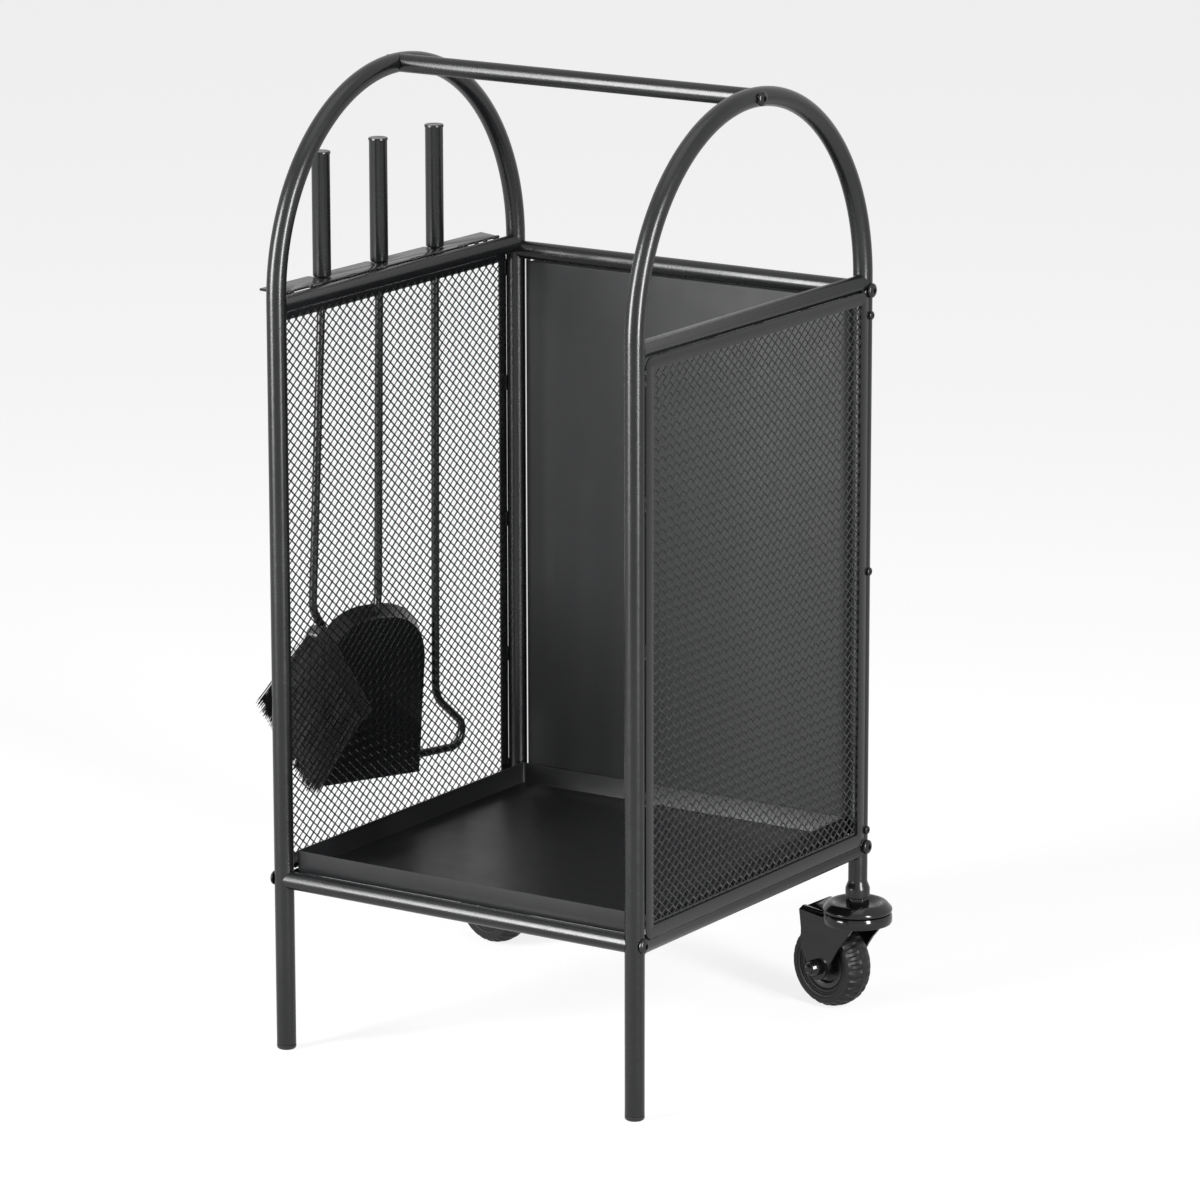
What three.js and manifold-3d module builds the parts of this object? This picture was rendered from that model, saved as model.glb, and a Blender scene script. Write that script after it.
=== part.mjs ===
// Fireside log cart: two tubular hoops joined by cross rails, mesh side panels, a sheet back, a
// lift-out tray, a rack with three hearth tools and two swivel casters under the rear legs.
// Millimetres, +Z up. The origin is on the floor, midway between the four leg axes.
// The open front faces -Y, the tools hang on the -X side and the casters are at +Y.
import * as THREE from 'three';
import { mergeVertices } from 'three/addons/utils/BufferGeometryUtils.js';
import Module from 'manifold-3d';

const wasm = await Module();
wasm.setup();

// ---------------------------------------------------------------- driving dimensions
const legSpanX = 340; // between the axes of the left and right legs
const legSpanY = 340; // between the axes of the front and rear legs
const cartHeight = 800; // floor to the top of the hoops
const hoopTubeR = 8; // hoop tube, 16 mm across
const crossTubeR = 7.5; // handle and the rails that bolt between the hoops
const sideTubeR = 7; // rails welded inside each hoop
const seat = 0.3; // gap left between pieces that touch
const tubeWall = 1.2; // wall of every tube
const boreWall = 1; // wall of the hoop tube where its ends are open
const boltBoss = 18; // length of the threaded insert in each end of a cross rail

const upperSideRailDrop = 4; // below the spring line of the hoops
const rearUpperRailDrop = 9.5;
const lowerSideRailZ = 141;
const lowerCrossRailZ = 144;

const frameStripWidth = 10.4;
const frameStripThick = 1.3;
const frameLegOverlap = 3.8; // how far the strip reaches over the side of the leg
const frameRailOverlap = 1.7; // how far the strip reaches past the nearest line of the rail
const frameCornerR = 8;
const netThick = 1;
const netInset = 5.3; // strip width that the net's edge is welded under
const netColumns = 5;
const netRows = 8;
const netStrand = 2.6;

const sheetThick = 1;
const panelFlange = 12;
const panelFrontSet = 3.5; // front face of the panel before the axis of the rear legs
const panelRailGap = 0.6;
const trayRimZ = 168;
const trayLegGap = 9; // tray side to the leg axis
const trayRailOverlap = 2.5; // how far the tray laps over the front and rear rails
const trayCornerR = 3;

const plateThick = 2;
const plateRise = 8; // top of the plate over the axis of its rail
const plateFrontReach = 32; // outer edge to the leg axes, in front
const plateRearReach = 27;
const plateFrontInset = 21; // outer front corner to the front leg's axis
const plateRearInset = 12;
const plateFrontSlant = 4; // the ends run on a slant from the outer corners to the rail
const plateRearSlant = 8;
const plateSlitDepth = 1.7; // light slits left between plate and rail
const plateSlitInset = 13; // slits to the leg axes, measured along the rail
const plateFrontSlit = 22;
const plateRearSlit = 38;

const toolRodR = 3.4;
const toolSlotGap = 0.6; // rod to slot, each side
const toolReach = 20; // rods to the leg axes
const toolPitch = 80;
const rodTopBendR = 40; // where a rod starts its slant under the plate
const handleR = 7.5;
const handleLength = 102.5;
const handleLip = 0.5;

const boltR = 3;
const boltHeadR = 6;
const boltHeadHeight = 3.3;
const boltReach = 30; // under the head
const boltSocket = 4; // across its flats
const screwR = 1.7;
const screwHeadR = 3.5;
const screwHeadHeight = 2;
const screwReach = 19;
const screwEdge = 12.5; // top and bottom screws to the panel's edges
const holeGap = 0.3;

const legEndZ = 100; // bottom of the rear legs
const legFlareR = 10.2;
const legFlareHeight = 14;
const footCapHeight = 4;
const plugLength = 16;

const wheelR = 36.5;
const wheelWidth = 27;
const casterTrail = 28.5;
const casterYaw = 12; // degrees that both forks are swung round, clockwise from above
const stemR = 5;
const stemNutFlat = 17;
const stemNutHeight = 8;
const cupR = 29;
const cupRise = 5; // crest of the upper race over its rim
const forkPlateHeight = 9.3;
const forkWebDrop = 2.6; // web surface below the round plate
const forkWebReach = 46.3;
const forkSheet = 2.2;
const forkGap = 17.3; // wheel plane to the inner face of a fork leg
const forkBossR = 11.2;
const axleR = 4;
const axleHeadR = 6;
const axleHeadHeight = 4.5;
const axleNutHeight = 8.5;
const axleNutR = 6.8;
const hubR = 20;

// ---------------------------------------------------------------- derived places
const legX = legSpanX / 2;
const legY = legSpanY / 2;
const hoopArcR = legY;
const springZ = cartHeight - hoopTubeR - hoopArcR;
const handleZ = springZ + hoopArcR;
const upperSideRailZ = springZ - upperSideRailDrop;
const rearUpperRailZ = springZ - rearUpperRailDrop;
const plateTopZ = upperSideRailZ + plateRise;
const toolLineX = -(legX + toolReach);

// ---------------------------------------------------------------- solids
function bareMesh(geometry) {
  const bare = geometry.clone();
  bare.deleteAttribute('normal');
  bare.deleteAttribute('uv');
  return mergeVertices(bare, 1e-4);
}

function signedVolume(points, faces) {
  const a = new THREE.Vector3();
  const b = new THREE.Vector3();
  const c = new THREE.Vector3();
  let total = 0;
  for (let i = 0; i < faces.length; i += 3) {
    a.fromArray(points, 3 * faces[i]);
    b.fromArray(points, 3 * faces[i + 1]);
    c.fromArray(points, 3 * faces[i + 2]);
    total += a.dot(b.cross(c)) / 6;
  }
  return total;
}

// A closed three.js geometry as a solid with its faces pointing out.
function solid(geometry) {
  const merged = bareMesh(geometry);
  const points = merged.attributes.position.array;
  const index = merged.index.array;
  const faces = [];
  for (let i = 0; i < index.length; i += 3) {
    const [a, b, c] = [index[i], index[i + 1], index[i + 2]];
    if (a !== b && b !== c && c !== a) faces.push(a, b, c);
  }
  if (signedVolume(points, faces) < 0) faces.reverse();
  return new wasm.Manifold(new wasm.Mesh({
    numProp: 3,
    vertProperties: new Float32Array(points),
    triVerts: new Uint32Array(faces),
  }));
}

function geometryOf(body) {
  const mesh = body.getMesh();
  const geometry = new THREE.BufferGeometry();
  geometry.setAttribute('position', new THREE.BufferAttribute(new Float32Array(mesh.vertProperties), 3));
  geometry.setIndex(new THREE.BufferAttribute(new Uint32Array(mesh.triVerts), 1));
  geometry.computeVertexNormals();
  return geometry;
}

function joined(bodies) {
  let row = bodies;
  while (row.length > 1) {
    const next = [];
    for (let i = 0; i < row.length; i += 2) {
      next.push(i + 1 < row.length ? row[i].add(row[i + 1]) : row[i]);
    }
    row = next;
  }
  return row[0];
}

function cut(body, tools) {
  return tools.reduce((left, tool) => left.subtract(tool), body);
}

// ---------------------------------------------------------------- shapes
const along = {
  x: new THREE.Matrix4().makeRotationZ(-Math.PI / 2),
  y: new THREE.Matrix4(),
  z: new THREE.Matrix4().makeRotationX(Math.PI / 2),
};

// A round bar from one end to the other along a row axis, through the point `at`.
function bar(axis, at, from, to, radius, sides = 20) {
  const geometry = new THREE.CylinderGeometry(radius, radius, to - from, sides);
  geometry.translate(0, (from + to) / 2, 0);
  geometry.applyMatrix4(along[axis]);
  geometry.translate(at[0], at[1], at[2]);
  return solid(geometry);
}

// A profile of [radius, height] points turned about a row axis through `at`.
function turned(axis, at, profile, sides = 24) {
  const points = profile.map(([r, h]) => new THREE.Vector2(r, h));
  const geometry = new THREE.LatheGeometry(points, sides);
  geometry.applyMatrix4(along[axis]);
  geometry.translate(at[0], at[1], at[2]);
  return solid(geometry);
}

// A flat outline in the plane across an axis: (y, z) across X, (x, z) across Y, (x, y) across Z.
function slab(axis, shape, from, to, curveSegments = 8) {
  const options = { depth: to - from, bevelEnabled: false, curveSegments };
  const geometry = new THREE.ExtrudeGeometry(shape, options);
  if (axis === 'x') {
    geometry.applyMatrix4(new THREE.Matrix4().set(0, 0, 1, from, 1, 0, 0, 0, 0, 1, 0, 0, 0, 0, 0, 1));
  }
  if (axis === 'y') {
    geometry.applyMatrix4(new THREE.Matrix4().set(1, 0, 0, 0, 0, 0, -1, to, 0, 1, 0, 0, 0, 0, 0, 1));
  }
  if (axis === 'z') geometry.translate(0, 0, from);
  return solid(geometry);
}

function block(low, high) {
  const size = high.map((value, i) => value - low[i]);
  const geometry = new THREE.BoxGeometry(size[0], size[1], size[2]);
  geometry.translate((low[0] + high[0]) / 2, (low[1] + high[1]) / 2, (low[2] + high[2]) / 2);
  return solid(geometry);
}

function hexagon(flat) {
  const shape = new THREE.Shape();
  const corner = flat / Math.sqrt(3);
  for (let i = 0; i < 6; i += 1) {
    const angle = (i + 0.5) * Math.PI / 3;
    shape[i ? 'lineTo' : 'moveTo'](corner * Math.cos(angle), corner * Math.sin(angle));
  }
  shape.closePath();
  return shape;
}

function polygon(radius, sides, Kind = THREE.Shape) {
  const shape = new Kind();
  for (let i = 0; i < sides; i += 1) {
    const angle = (2 * Math.PI * (i + 0.5)) / sides;
    shape[i ? 'lineTo' : 'moveTo'](radius * Math.cos(angle), radius * Math.sin(angle));
  }
  shape.closePath();
  return shape;
}

function roundedRectangle(left, bottom, right, top, radius, Kind = THREE.Shape) {
  const shape = new Kind();
  shape.moveTo(left + radius, bottom);
  shape.lineTo(right - radius, bottom);
  shape.absarc(right - radius, bottom + radius, radius, -Math.PI / 2, 0);
  shape.lineTo(right, top - radius);
  shape.absarc(right - radius, top - radius, radius, 0, Math.PI / 2);
  shape.lineTo(left + radius, top);
  shape.absarc(left + radius, top - radius, radius, Math.PI / 2, Math.PI);
  shape.lineTo(left, bottom + radius);
  shape.absarc(left + radius, bottom + radius, radius, Math.PI, 1.5 * Math.PI);
  return shape;
}

// A path through fixed stations, so that a swept tube has its rings where the bends need them.
class StationPath extends THREE.Curve {
  constructor(stations) {
    super();
    this.stations = stations;
  }

  station(u) {
    return Math.round(u * (this.stations.length - 1));
  }

  getPoint(t, target = new THREE.Vector3()) {
    return target.copy(this.stations[this.station(t)]);
  }

  getPointAt(u, target) {
    return this.getPoint(u, target);
  }

  getTangent(t, target = new THREE.Vector3()) {
    const i = this.station(t);
    const here = this.stations[i];
    const before = this.stations[Math.max(i - 1, 0)];
    const after = this.stations[Math.min(i + 1, this.stations.length - 1)];
    const inward = here.clone().sub(before).normalize();
    const outward = after.clone().sub(here).normalize();
    return target.copy(inward).add(outward).normalize();
  }

  getTangentAt(u, target) {
    return this.getTangent(u, target);
  }
}

// Rounds the corners of a bent rod's route: [point, bend radius] pairs give the stations.
function bentRoute(corners, steps = 4) {
  const stations = [];
  corners.forEach(([point, radius], i) => {
    const here = new THREE.Vector3(...point);
    if (!radius || i === 0 || i === corners.length - 1) {
      stations.push(here);
      return;
    }
    const back = new THREE.Vector3(...corners[i - 1][0]).sub(here).normalize();
    const on = new THREE.Vector3(...corners[i + 1][0]).sub(here).normalize();
    const half = back.angleTo(on) / 2;
    const reach = radius / Math.tan(half);
    const centre = back.clone().add(on).normalize().multiplyScalar(radius / Math.sin(half)).add(here);
    const first = here.clone().addScaledVector(back, reach).sub(centre);
    const last = here.clone().addScaledVector(on, reach).sub(centre);
    const sweep = first.angleTo(last);
    for (let k = 0; k <= steps; k += 1) {
      const a = Math.sin((1 - k / steps) * sweep) / Math.sin(sweep);
      const b = Math.sin((k / steps) * sweep) / Math.sin(sweep);
      stations.push(centre.clone().addScaledVector(first, a).addScaledVector(last, b));
    }
  });
  return stations;
}

function sweptSection(stations, section) {
  return solid(new THREE.ExtrudeGeometry(section, {
    extrudePath: new StationPath(stations),
    steps: stations.length - 1,
    bevelEnabled: false,
  }));
}

function sweptTube(stations, radius, sides) {
  return sweptSection(stations, polygon(radius, sides));
}

// A closed skin over rings of equal point counts, with a fan at each end.
function ribbon(rings) {
  const count = rings[0].length;
  const last = (rings.length - 1) * count;
  const faces = [];
  for (let r = 0; r + 1 < rings.length; r += 1) {
    for (let i = 0; i < count; i += 1) {
      const a = r * count + i;
      const b = r * count + ((i + 1) % count);
      faces.push(a, b, b + count, a, b + count, a + count);
    }
  }
  for (let i = 1; i + 1 < count; i += 1) faces.push(0, i + 1, i, last, last + i, last + i + 1);
  const geometry = new THREE.BufferGeometry();
  const points = rings.flat().flatMap((point) => point.toArray());
  geometry.setAttribute('position', new THREE.Float32BufferAttribute(points, 3));
  geometry.setIndex(faces);
  return solid(geometry);
}

// ---------------------------------------------------------------- the cart
const cart = new THREE.Group();

const finishes = {
  coat: { color: 0x2b2c2e, roughness: 0.42, metalness: 0.35 },
  sheet: { color: 0x262729, roughness: 0.5, metalness: 0.3 },
  gloss: { color: 0x0c0c0d, roughness: 0.16, metalness: 0.25 },
  rubber: { color: 0x161616, roughness: 0.7, metalness: 0 },
  nylon: { color: 0x101011, roughness: 0.35, metalness: 0 },
  bristle: { color: 0x0d0d0e, roughness: 0.8, metalness: 0 },
  steel: { color: 0x3a3a3c, roughness: 0.3, metalness: 0.8 },
};

function add(name, body, finish) {
  const mesh = new THREE.Mesh(geometryOf(body), new THREE.MeshStandardMaterial(finishes[finish]));
  mesh.name = name;
  cart.add(mesh);
}

const sides = [{ name: 'left', side: -1 }, { name: 'right', side: 1 }];

// ---------------------------------------------------------------- fasteners
// Button-head bolts run in from outside each hoop. At x = legX + hoopTubeR the head meets the tube.
const boltPlaces = [
  { name: 'handle_bolt', y: 0, z: handleZ },
  { name: 'rear_upper_bolt', y: legY, z: rearUpperRailZ },
  { name: 'rear_lower_bolt', y: legY, z: lowerCrossRailZ },
  { name: 'front_lower_bolt', y: -legY, z: lowerCrossRailZ },
];
const headSeatX = legX + hoopTubeR + seat;

// Head outside headSeatX, shank towards the middle of the cart.
function fastener(y, z, shank, reach, headR, headHeight) {
  const head = turned('x', [headSeatX, y, z], [
    [0, 0], [headR, 0], [headR * 0.93, headHeight * 0.55], [headR * 0.6, headHeight], [0, headHeight],
  ], 12);
  return head.add(bar('x', [0, y, z], headSeatX - reach, headSeatX + headHeight / 4, shank, 6));
}

function toSide(body, side) {
  return side > 0 ? body : body.mirror([1, 0, 0]);
}

const panelBottomZ = lowerCrossRailZ + crossTubeR + panelRailGap;
const panelTopZ = rearUpperRailZ - crossTubeR - panelRailGap;
const screwHeights = [panelBottomZ + screwEdge / 2, (panelBottomZ + panelTopZ) / 2, panelTopZ - screwEdge];
const screwNames = ['low', 'mid', 'high'];

function boltHoles(side) {
  return boltPlaces.map(({ y, z }) => toSide(
    bar('x', [0, y, z], headSeatX - boltReach - 1, headSeatX + 5, boltR + holeGap, 6),
    side,
  ));
}

function screwHoles(side) {
  return screwHeights.map((z) => toSide(
    bar('x', [0, legY, z], headSeatX - screwReach - 1, headSeatX + 5, screwR + holeGap, 6),
    side,
  ));
}

for (const { name, side } of sides) {
  for (const place of boltPlaces) {
    const bolt = fastener(place.y, place.z, boltR, boltReach, boltHeadR, boltHeadHeight);
    const socket = slab('x', hexagon(boltSocket), 0, boltHeadHeight);
    const sunk = socket.translate([headSeatX + boltHeadHeight / 3, place.y, place.z]);
    add(`${place.name}_${name}`, toSide(bolt.subtract(sunk), side), 'steel');
  }
  screwHeights.forEach((z, i) => {
    const screw = fastener(legY, z, screwR, screwReach, screwHeadR, screwHeadHeight);
    add(`panel_screw_${screwNames[i]}_${name}`, toSide(screw, side), 'steel');
  });
}

// ---------------------------------------------------------------- hoops
// One tube bent into an arch: front leg, half circle, rear leg with a flared end for the caster.
const hoopSides = 12;
const arcSteps = 18;

function hoopForm(side, radius, bore) {
  const x = side * legX;
  const stations = [new THREE.Vector3(x, -legY, footCapHeight + seat)];
  for (let i = 0; i <= arcSteps; i += 1) {
    const angle = Math.PI * (1 - i / arcSteps);
    stations.push(new THREE.Vector3(x, hoopArcR * Math.cos(angle), springZ + hoopArcR * Math.sin(angle)));
  }
  stations.push(new THREE.Vector3(x, legY, legEndZ + legFlareHeight));
  const section = polygon(radius, hoopSides);
  if (bore) section.holes.push(polygon(bore, 6, THREE.Path));
  return sweptSection(stations, section);
}

function hoop(side) {
  const at = [side * legX, legY, 0];
  const tube = hoopForm(side, hoopTubeR, hoopTubeR - tubeWall);
  const flareMidZ = legEndZ + legFlareHeight / 2;
  const bore = hoopTubeR - boreWall;
  const flareBoreR = legFlareR - boreWall;
  const boreTopZ = legEndZ + 2.2 * plugLength;
  const flareTopZ = legEndZ + legFlareHeight;
  const flare = turned('z', at, [
    [flareBoreR, legEndZ], [legFlareR, legEndZ], [legFlareR, flareMidZ], [hoopTubeR, flareTopZ],
    [bore - 1, flareTopZ], [flareBoreR, flareMidZ], [flareBoreR, legEndZ],
  ], hoopSides);
  const flareBore = turned('z', at, [
    [0, legEndZ - 1], [flareBoreR, legEndZ - 1], [flareBoreR, flareMidZ], [bore, flareTopZ],
    [bore, boreTopZ], [0, boreTopZ],
  ], 12);
  const footBore = bar('z', [side * legX, -legY, 0], 0, footCapHeight + plugLength, bore, 12);
  return cut(tube.add(flare), [flareBore, footBore, ...boltHoles(side), ...screwHoles(side)]);
}

for (const { name, side } of sides) add(`${name}_hoop`, hoop(side), 'coat');
const hoopSaddles = sides.map(({ side }) => hoopForm(side, hoopTubeR + seat));

// Moulded plugs close the front legs and stand on the floor.
for (const { name, side } of sides) {
  const plugR = hoopTubeR - boreWall - seat;
  const plugTopZ = footCapHeight + plugLength - 1;
  const cap = turned('z', [side * legX, -legY, 0], [
    [0, 0], [hoopTubeR - 1.6, 0], [hoopTubeR - 0.4, 0.6], [hoopTubeR, 1.8], [hoopTubeR, footCapHeight],
    [plugR, footCapHeight], [plugR, plugTopZ - 1.5], [plugR - 1.2, plugTopZ], [0, plugTopZ],
  ], hoopSides);
  add(`${name}_foot_cap`, cap, 'nylon');
}

// ---------------------------------------------------------------- rails
// Tubes, saddled at both ends to the hoops. The bolted ones carry a threaded insert in each end.
function crossRail(y, z) {
  const half = legX;
  const insert = half - hoopTubeR - boltBoss;
  const hollow = crossTubeR - tubeWall;
  const thread = boltR + holeGap;
  const rail = turned('x', [0, y, z], [
    [thread, -half], [crossTubeR, -half], [crossTubeR, half], [thread, half], [thread, insert],
    [hollow, insert], [hollow, -insert], [thread, -insert], [thread, -half],
  ], 12);
  return cut(rail, hoopSaddles);
}

add('handle_tube', crossRail(0, handleZ), 'coat');
const crossRailPlaces = [
  ['rear_upper_rail', legY, rearUpperRailZ],
  ['rear_lower_rail', legY, lowerCrossRailZ],
  ['front_lower_rail', -legY, lowerCrossRailZ],
];
for (const [name, y, z] of crossRailPlaces) add(name, crossRail(y, z), 'coat');

// The welded side rails also clear the bolted ones where they meet at a leg.
const crossClearances = crossRailPlaces.map(([, y, z]) => (
  bar('x', [0, y, z], -legX, legX, crossTubeR + seat, 12)
));
for (const { name, side } of sides) {
  for (const [level, z] of [['upper', upperSideRailZ], ['lower', lowerSideRailZ]]) {
    const hollow = sideTubeR - tubeWall;
    const rail = turned('y', [side * legX, 0, z], [
      [hollow, -legY], [sideTubeR, -legY], [sideTubeR, legY], [hollow, legY], [hollow, -legY],
    ], 12);
    add(`${name}_${level}_rail`, cut(rail, [...hoopSaddles, ...crossClearances]), 'coat');
  }
}

// ---------------------------------------------------------------- mesh side panels
// A flat strip frame lies against the outer flank of the legs. Its net is welded to the inner face.
const frameEdge = hoopTubeR - frameLegOverlap;
const frameInnerX = legX + Math.sqrt(hoopTubeR ** 2 - frameEdge ** 2) + seat;
const frameHalfY = legY - frameEdge;
const frameTopZ = upperSideRailZ - sideTubeR + frameRailOverlap;
const frameBottomZ = lowerSideRailZ + sideTubeR - frameRailOverlap / 2;

function meshFrame() {
  const outline = roundedRectangle(-frameHalfY, frameBottomZ, frameHalfY, frameTopZ, frameCornerR);
  const inY = frameHalfY - frameStripWidth;
  const window = roundedRectangle(
    -inY, frameBottomZ + frameStripWidth, inY, frameTopZ - frameStripWidth, 1, THREE.Path,
  );
  outline.holes.push(window);
  return slab('x', outline, frameInnerX, frameInnerX + frameStripThick, 3);
}

// Expanded metal: offset rows of diamonds inside a plain border.
function net() {
  const halfY = frameHalfY - netInset;
  const low = frameBottomZ + netInset;
  const high = frameTopZ - netInset;
  const pitchY = (2 * halfY) / netColumns;
  const pitchZ = (high - low) / netRows;
  const inner = frameInnerX - seat - netThick;
  const outer = frameInnerX - seat;
  const lean = Math.hypot(pitchY, pitchZ) / 2;
  const halfWide = pitchY / 2 - (netStrand * lean) / pitchZ;
  const halfTall = pitchZ / 2 - (netStrand * lean) / pitchY;
  const gaps = [];
  const addGap = (corners) => gaps.push(slab('x', new THREE.Shape(corners), inner - 1, outer + 1));
  const pointAt = (y, z, right, up) => new THREE.Vector2(y + right * halfWide, z + up * halfTall);
  const rim = netStrand / halfTall; // share of a half gap that the border takes
  for (let row = 0; row <= 2 * netRows; row += 1) {
    const z = low + (row * pitchZ) / 2;
    const up = row === 0 ? 1 : -1;
    for (let column = 0; column < netColumns + 1 - (row % 2); column += 1) {
      const y = -halfY + (column + (row % 2) / 2) * pitchY;
      const right = column === 0 ? 1 : -1;
      const atEnd = row === 0 || row === 2 * netRows;
      const atSide = row % 2 === 0 && (column === 0 || column === netColumns);
      const [a, b] = [1 - rim, rim];
      if (atEnd && !atSide) {
        addGap([pointAt(y, z, -a, up * b), pointAt(y, z, a, up * b), pointAt(y, z, 0, up)]);
      }
      if (atSide && !atEnd) {
        addGap([pointAt(y, z, right * b, -a), pointAt(y, z, right, 0), pointAt(y, z, right * b, a)]);
      }
      if (!atEnd && !atSide) {
        addGap([pointAt(y, z, -1, 0), pointAt(y, z, 0, -1), pointAt(y, z, 1, 0), pointAt(y, z, 0, 1)]);
      }
    }
  }
  return block([inner, -halfY, low], [outer, halfY, high]).subtract(joined(gaps));
}

for (const { name, side } of sides) {
  add(`${name}_mesh_frame`, toSide(meshFrame(), side), 'coat');
  add(`${name}_mesh`, toSide(net(), side), 'coat');
}

// ---------------------------------------------------------------- back panel
// A sheet between the rear legs, its four edges folded back. The side flanges take the screws.
const panelHalfX = legX - hoopTubeR - seat;
const panelFrontY = legY - panelFrontSet;
const panelBlank = block(
  [-panelHalfX, panelFrontY, panelBottomZ],
  [panelHalfX, panelFrontY + panelFlange, panelTopZ],
);
const panelHollow = block(
  [-panelHalfX + sheetThick, panelFrontY + sheetThick, panelBottomZ + sheetThick],
  [panelHalfX - sheetThick, panelFrontY + panelFlange + 1, panelTopZ - sheetThick],
);
add('rear_panel', cut(panelBlank, [panelHollow, ...screwHoles(-1), ...screwHoles(1)]), 'sheet');

// ---------------------------------------------------------------- tray
// It drops in between the side rails and rests on the shoulders of the front and rear rails.
const trayHalfX = legX - trayLegGap;
const trayHalfY = legY - crossTubeR + trayRailOverlap;
const trayShoulder = Math.sqrt(crossTubeR ** 2 - (crossTubeR - trayRailOverlap) ** 2);
const trayBottomZ = lowerCrossRailZ + trayShoulder + seat;
const trayOutline = roundedRectangle(-trayHalfX, -trayHalfY, trayHalfX, trayHalfY, trayCornerR);
const trayBlank = slab('z', trayOutline, trayBottomZ, trayRimZ, 3);
const inX = trayHalfX - sheetThick;
const inY = trayHalfY - sheetThick;
const trayInline = roundedRectangle(-inX, -inY, inX, inY, trayCornerR - sheetThick);
const trayHollow = slab('z', trayInline, trayBottomZ + sheetThick, trayRimZ + 1, 3);
add('tray', trayBlank.subtract(trayHollow), 'sheet');

// ---------------------------------------------------------------- tool rack
// A plate welded to the left upper rail. The tools hang in slots that open at its outer edge.
const toolYs = [-toolPitch, 0, toolPitch];
const slotHalf = toolRodR + toolSlotGap;
const slotMouth = 1.5;
const plateBottomZ = plateTopZ - plateThick;
const railFlank = Math.sqrt(sideTubeR ** 2 - (plateBottomZ - upperSideRailZ) ** 2);
const plateInnerX = -(legX + railFlank + seat);

const plateFrontY = -legY + plateFrontInset;
const plateRearY = legY - plateRearInset;

// The outer edge closes in on the rail a little towards the rear.
function plateOuterAt(y) {
  const share = (y - plateFrontY) / (plateRearY - plateFrontY);
  return -(legX + plateFrontReach + (plateRearReach - plateFrontReach) * share);
}

function rackPlate() {
  const slit = plateInnerX - plateSlitDepth;
  const frontSlitY = plateFrontY - plateFrontSlant + plateSlitInset;
  const rearSlitY = plateRearY - plateRearSlant - plateSlitInset / 2;
  const shape = new THREE.Shape();
  shape.moveTo(plateOuterAt(plateFrontY), plateFrontY);
  shape.lineTo(plateInnerX, plateFrontY - plateFrontSlant);
  const slits = [[frontSlitY, frontSlitY + plateFrontSlit], [rearSlitY - plateRearSlit, rearSlitY]];
  for (const [from, to] of slits) {
    shape.lineTo(plateInnerX, from);
    shape.lineTo(slit, from);
    shape.lineTo(slit, to);
    shape.lineTo(plateInnerX, to);
  }
  shape.lineTo(plateInnerX, plateRearY - plateRearSlant);
  shape.lineTo(plateOuterAt(plateRearY), plateRearY);
  for (const y of [...toolYs].reverse()) {
    const outer = plateOuterAt(y);
    shape.lineTo(plateOuterAt(y + slotHalf + slotMouth), y + slotHalf + slotMouth);
    shape.lineTo(outer + slotMouth, y + slotHalf);
    shape.absarc(toolLineX, y, slotHalf, Math.PI / 2, -Math.PI / 2, true);
    shape.lineTo(outer + slotMouth, y - slotHalf);
    shape.lineTo(plateOuterAt(y - slotHalf - slotMouth), y - slotHalf - slotMouth);
  }
  shape.closePath();
  return slab('z', shape, plateBottomZ, plateTopZ, 6);
}

add('tool_plate', rackPlate(), 'coat');

// ---------------------------------------------------------------- tool handles
// Tube grips with a rolled lip on top. The lower end rests on the plate across its slot.
const gripZ = plateTopZ + seat;
const rodTopZ = gripZ + 24;

function grip(y) {
  const top = gripZ + handleLength;
  const profile = [
    [0, gripZ], [handleR - 1, gripZ], [handleR, gripZ + 1.4], [handleR, top - 2.4],
    [handleR + handleLip, top - 1.8], [handleR + handleLip, top - 0.5], [handleR - 0.6, top], [0, top],
  ];
  const body = turned('z', [toolLineX, y, 0], profile, 14);
  return body.subtract(bar('z', [toolLineX, y, 0], gripZ - 1, rodTopZ + seat, toolRodR + seat, 10));
}

// ---------------------------------------------------------------- brush
// The rod turns along the top edge of the head and lies in a groove of it. The bristles lean a
// little away from the square at the upper end and less towards the lower one.
const headTop = new THREE.Vector2(toolYs[0] - 17, plateTopZ - 290);
const headLow = new THREE.Vector2(toolYs[0] + 49.4, plateTopZ - 377.7);
const headHigh = 15; // across the head, in the bristles' plane
const headInset = 12; // near face to the leg axes
const headThick = 14; // thin enough for the shovel to lift past it
const rodOverHead = 1; // rod axis over the head's top edge
const rodBeforeHead = 14; // where the rod turns, before the head's end
const rodTurnR = 18;
const bristleLean = THREE.MathUtils.degToRad(6.6);
const bristleLength = 80;
const bristleSlice = 3;
const bristleRows = 5;
const bristleColumns = 60;
const bristleR = 0.75;
const headInnerX = -(legX + headInset);
const headDir = headLow.clone().sub(headTop).normalize();
const headLength = headTop.distanceTo(headLow);
const headDown = new THREE.Vector2(headDir.y, -headDir.x);

function onHead(lengthwise, outward) {
  return headTop.clone().addScaledVector(headDir, lengthwise).addScaledVector(headDown, outward);
}

function headBar(from, to, top, bottom, inner, outer) {
  const corners = [
    onHead(from + 4, top), onHead(to - 2, top), onHead(to, (top + bottom) / 2), onHead(to - 2, bottom),
    onHead(from, bottom), onHead(from - 1, bottom - 5), onHead(from, top + 4),
  ];
  return slab('x', new THREE.Shape(corners), outer, inner);
}

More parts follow.
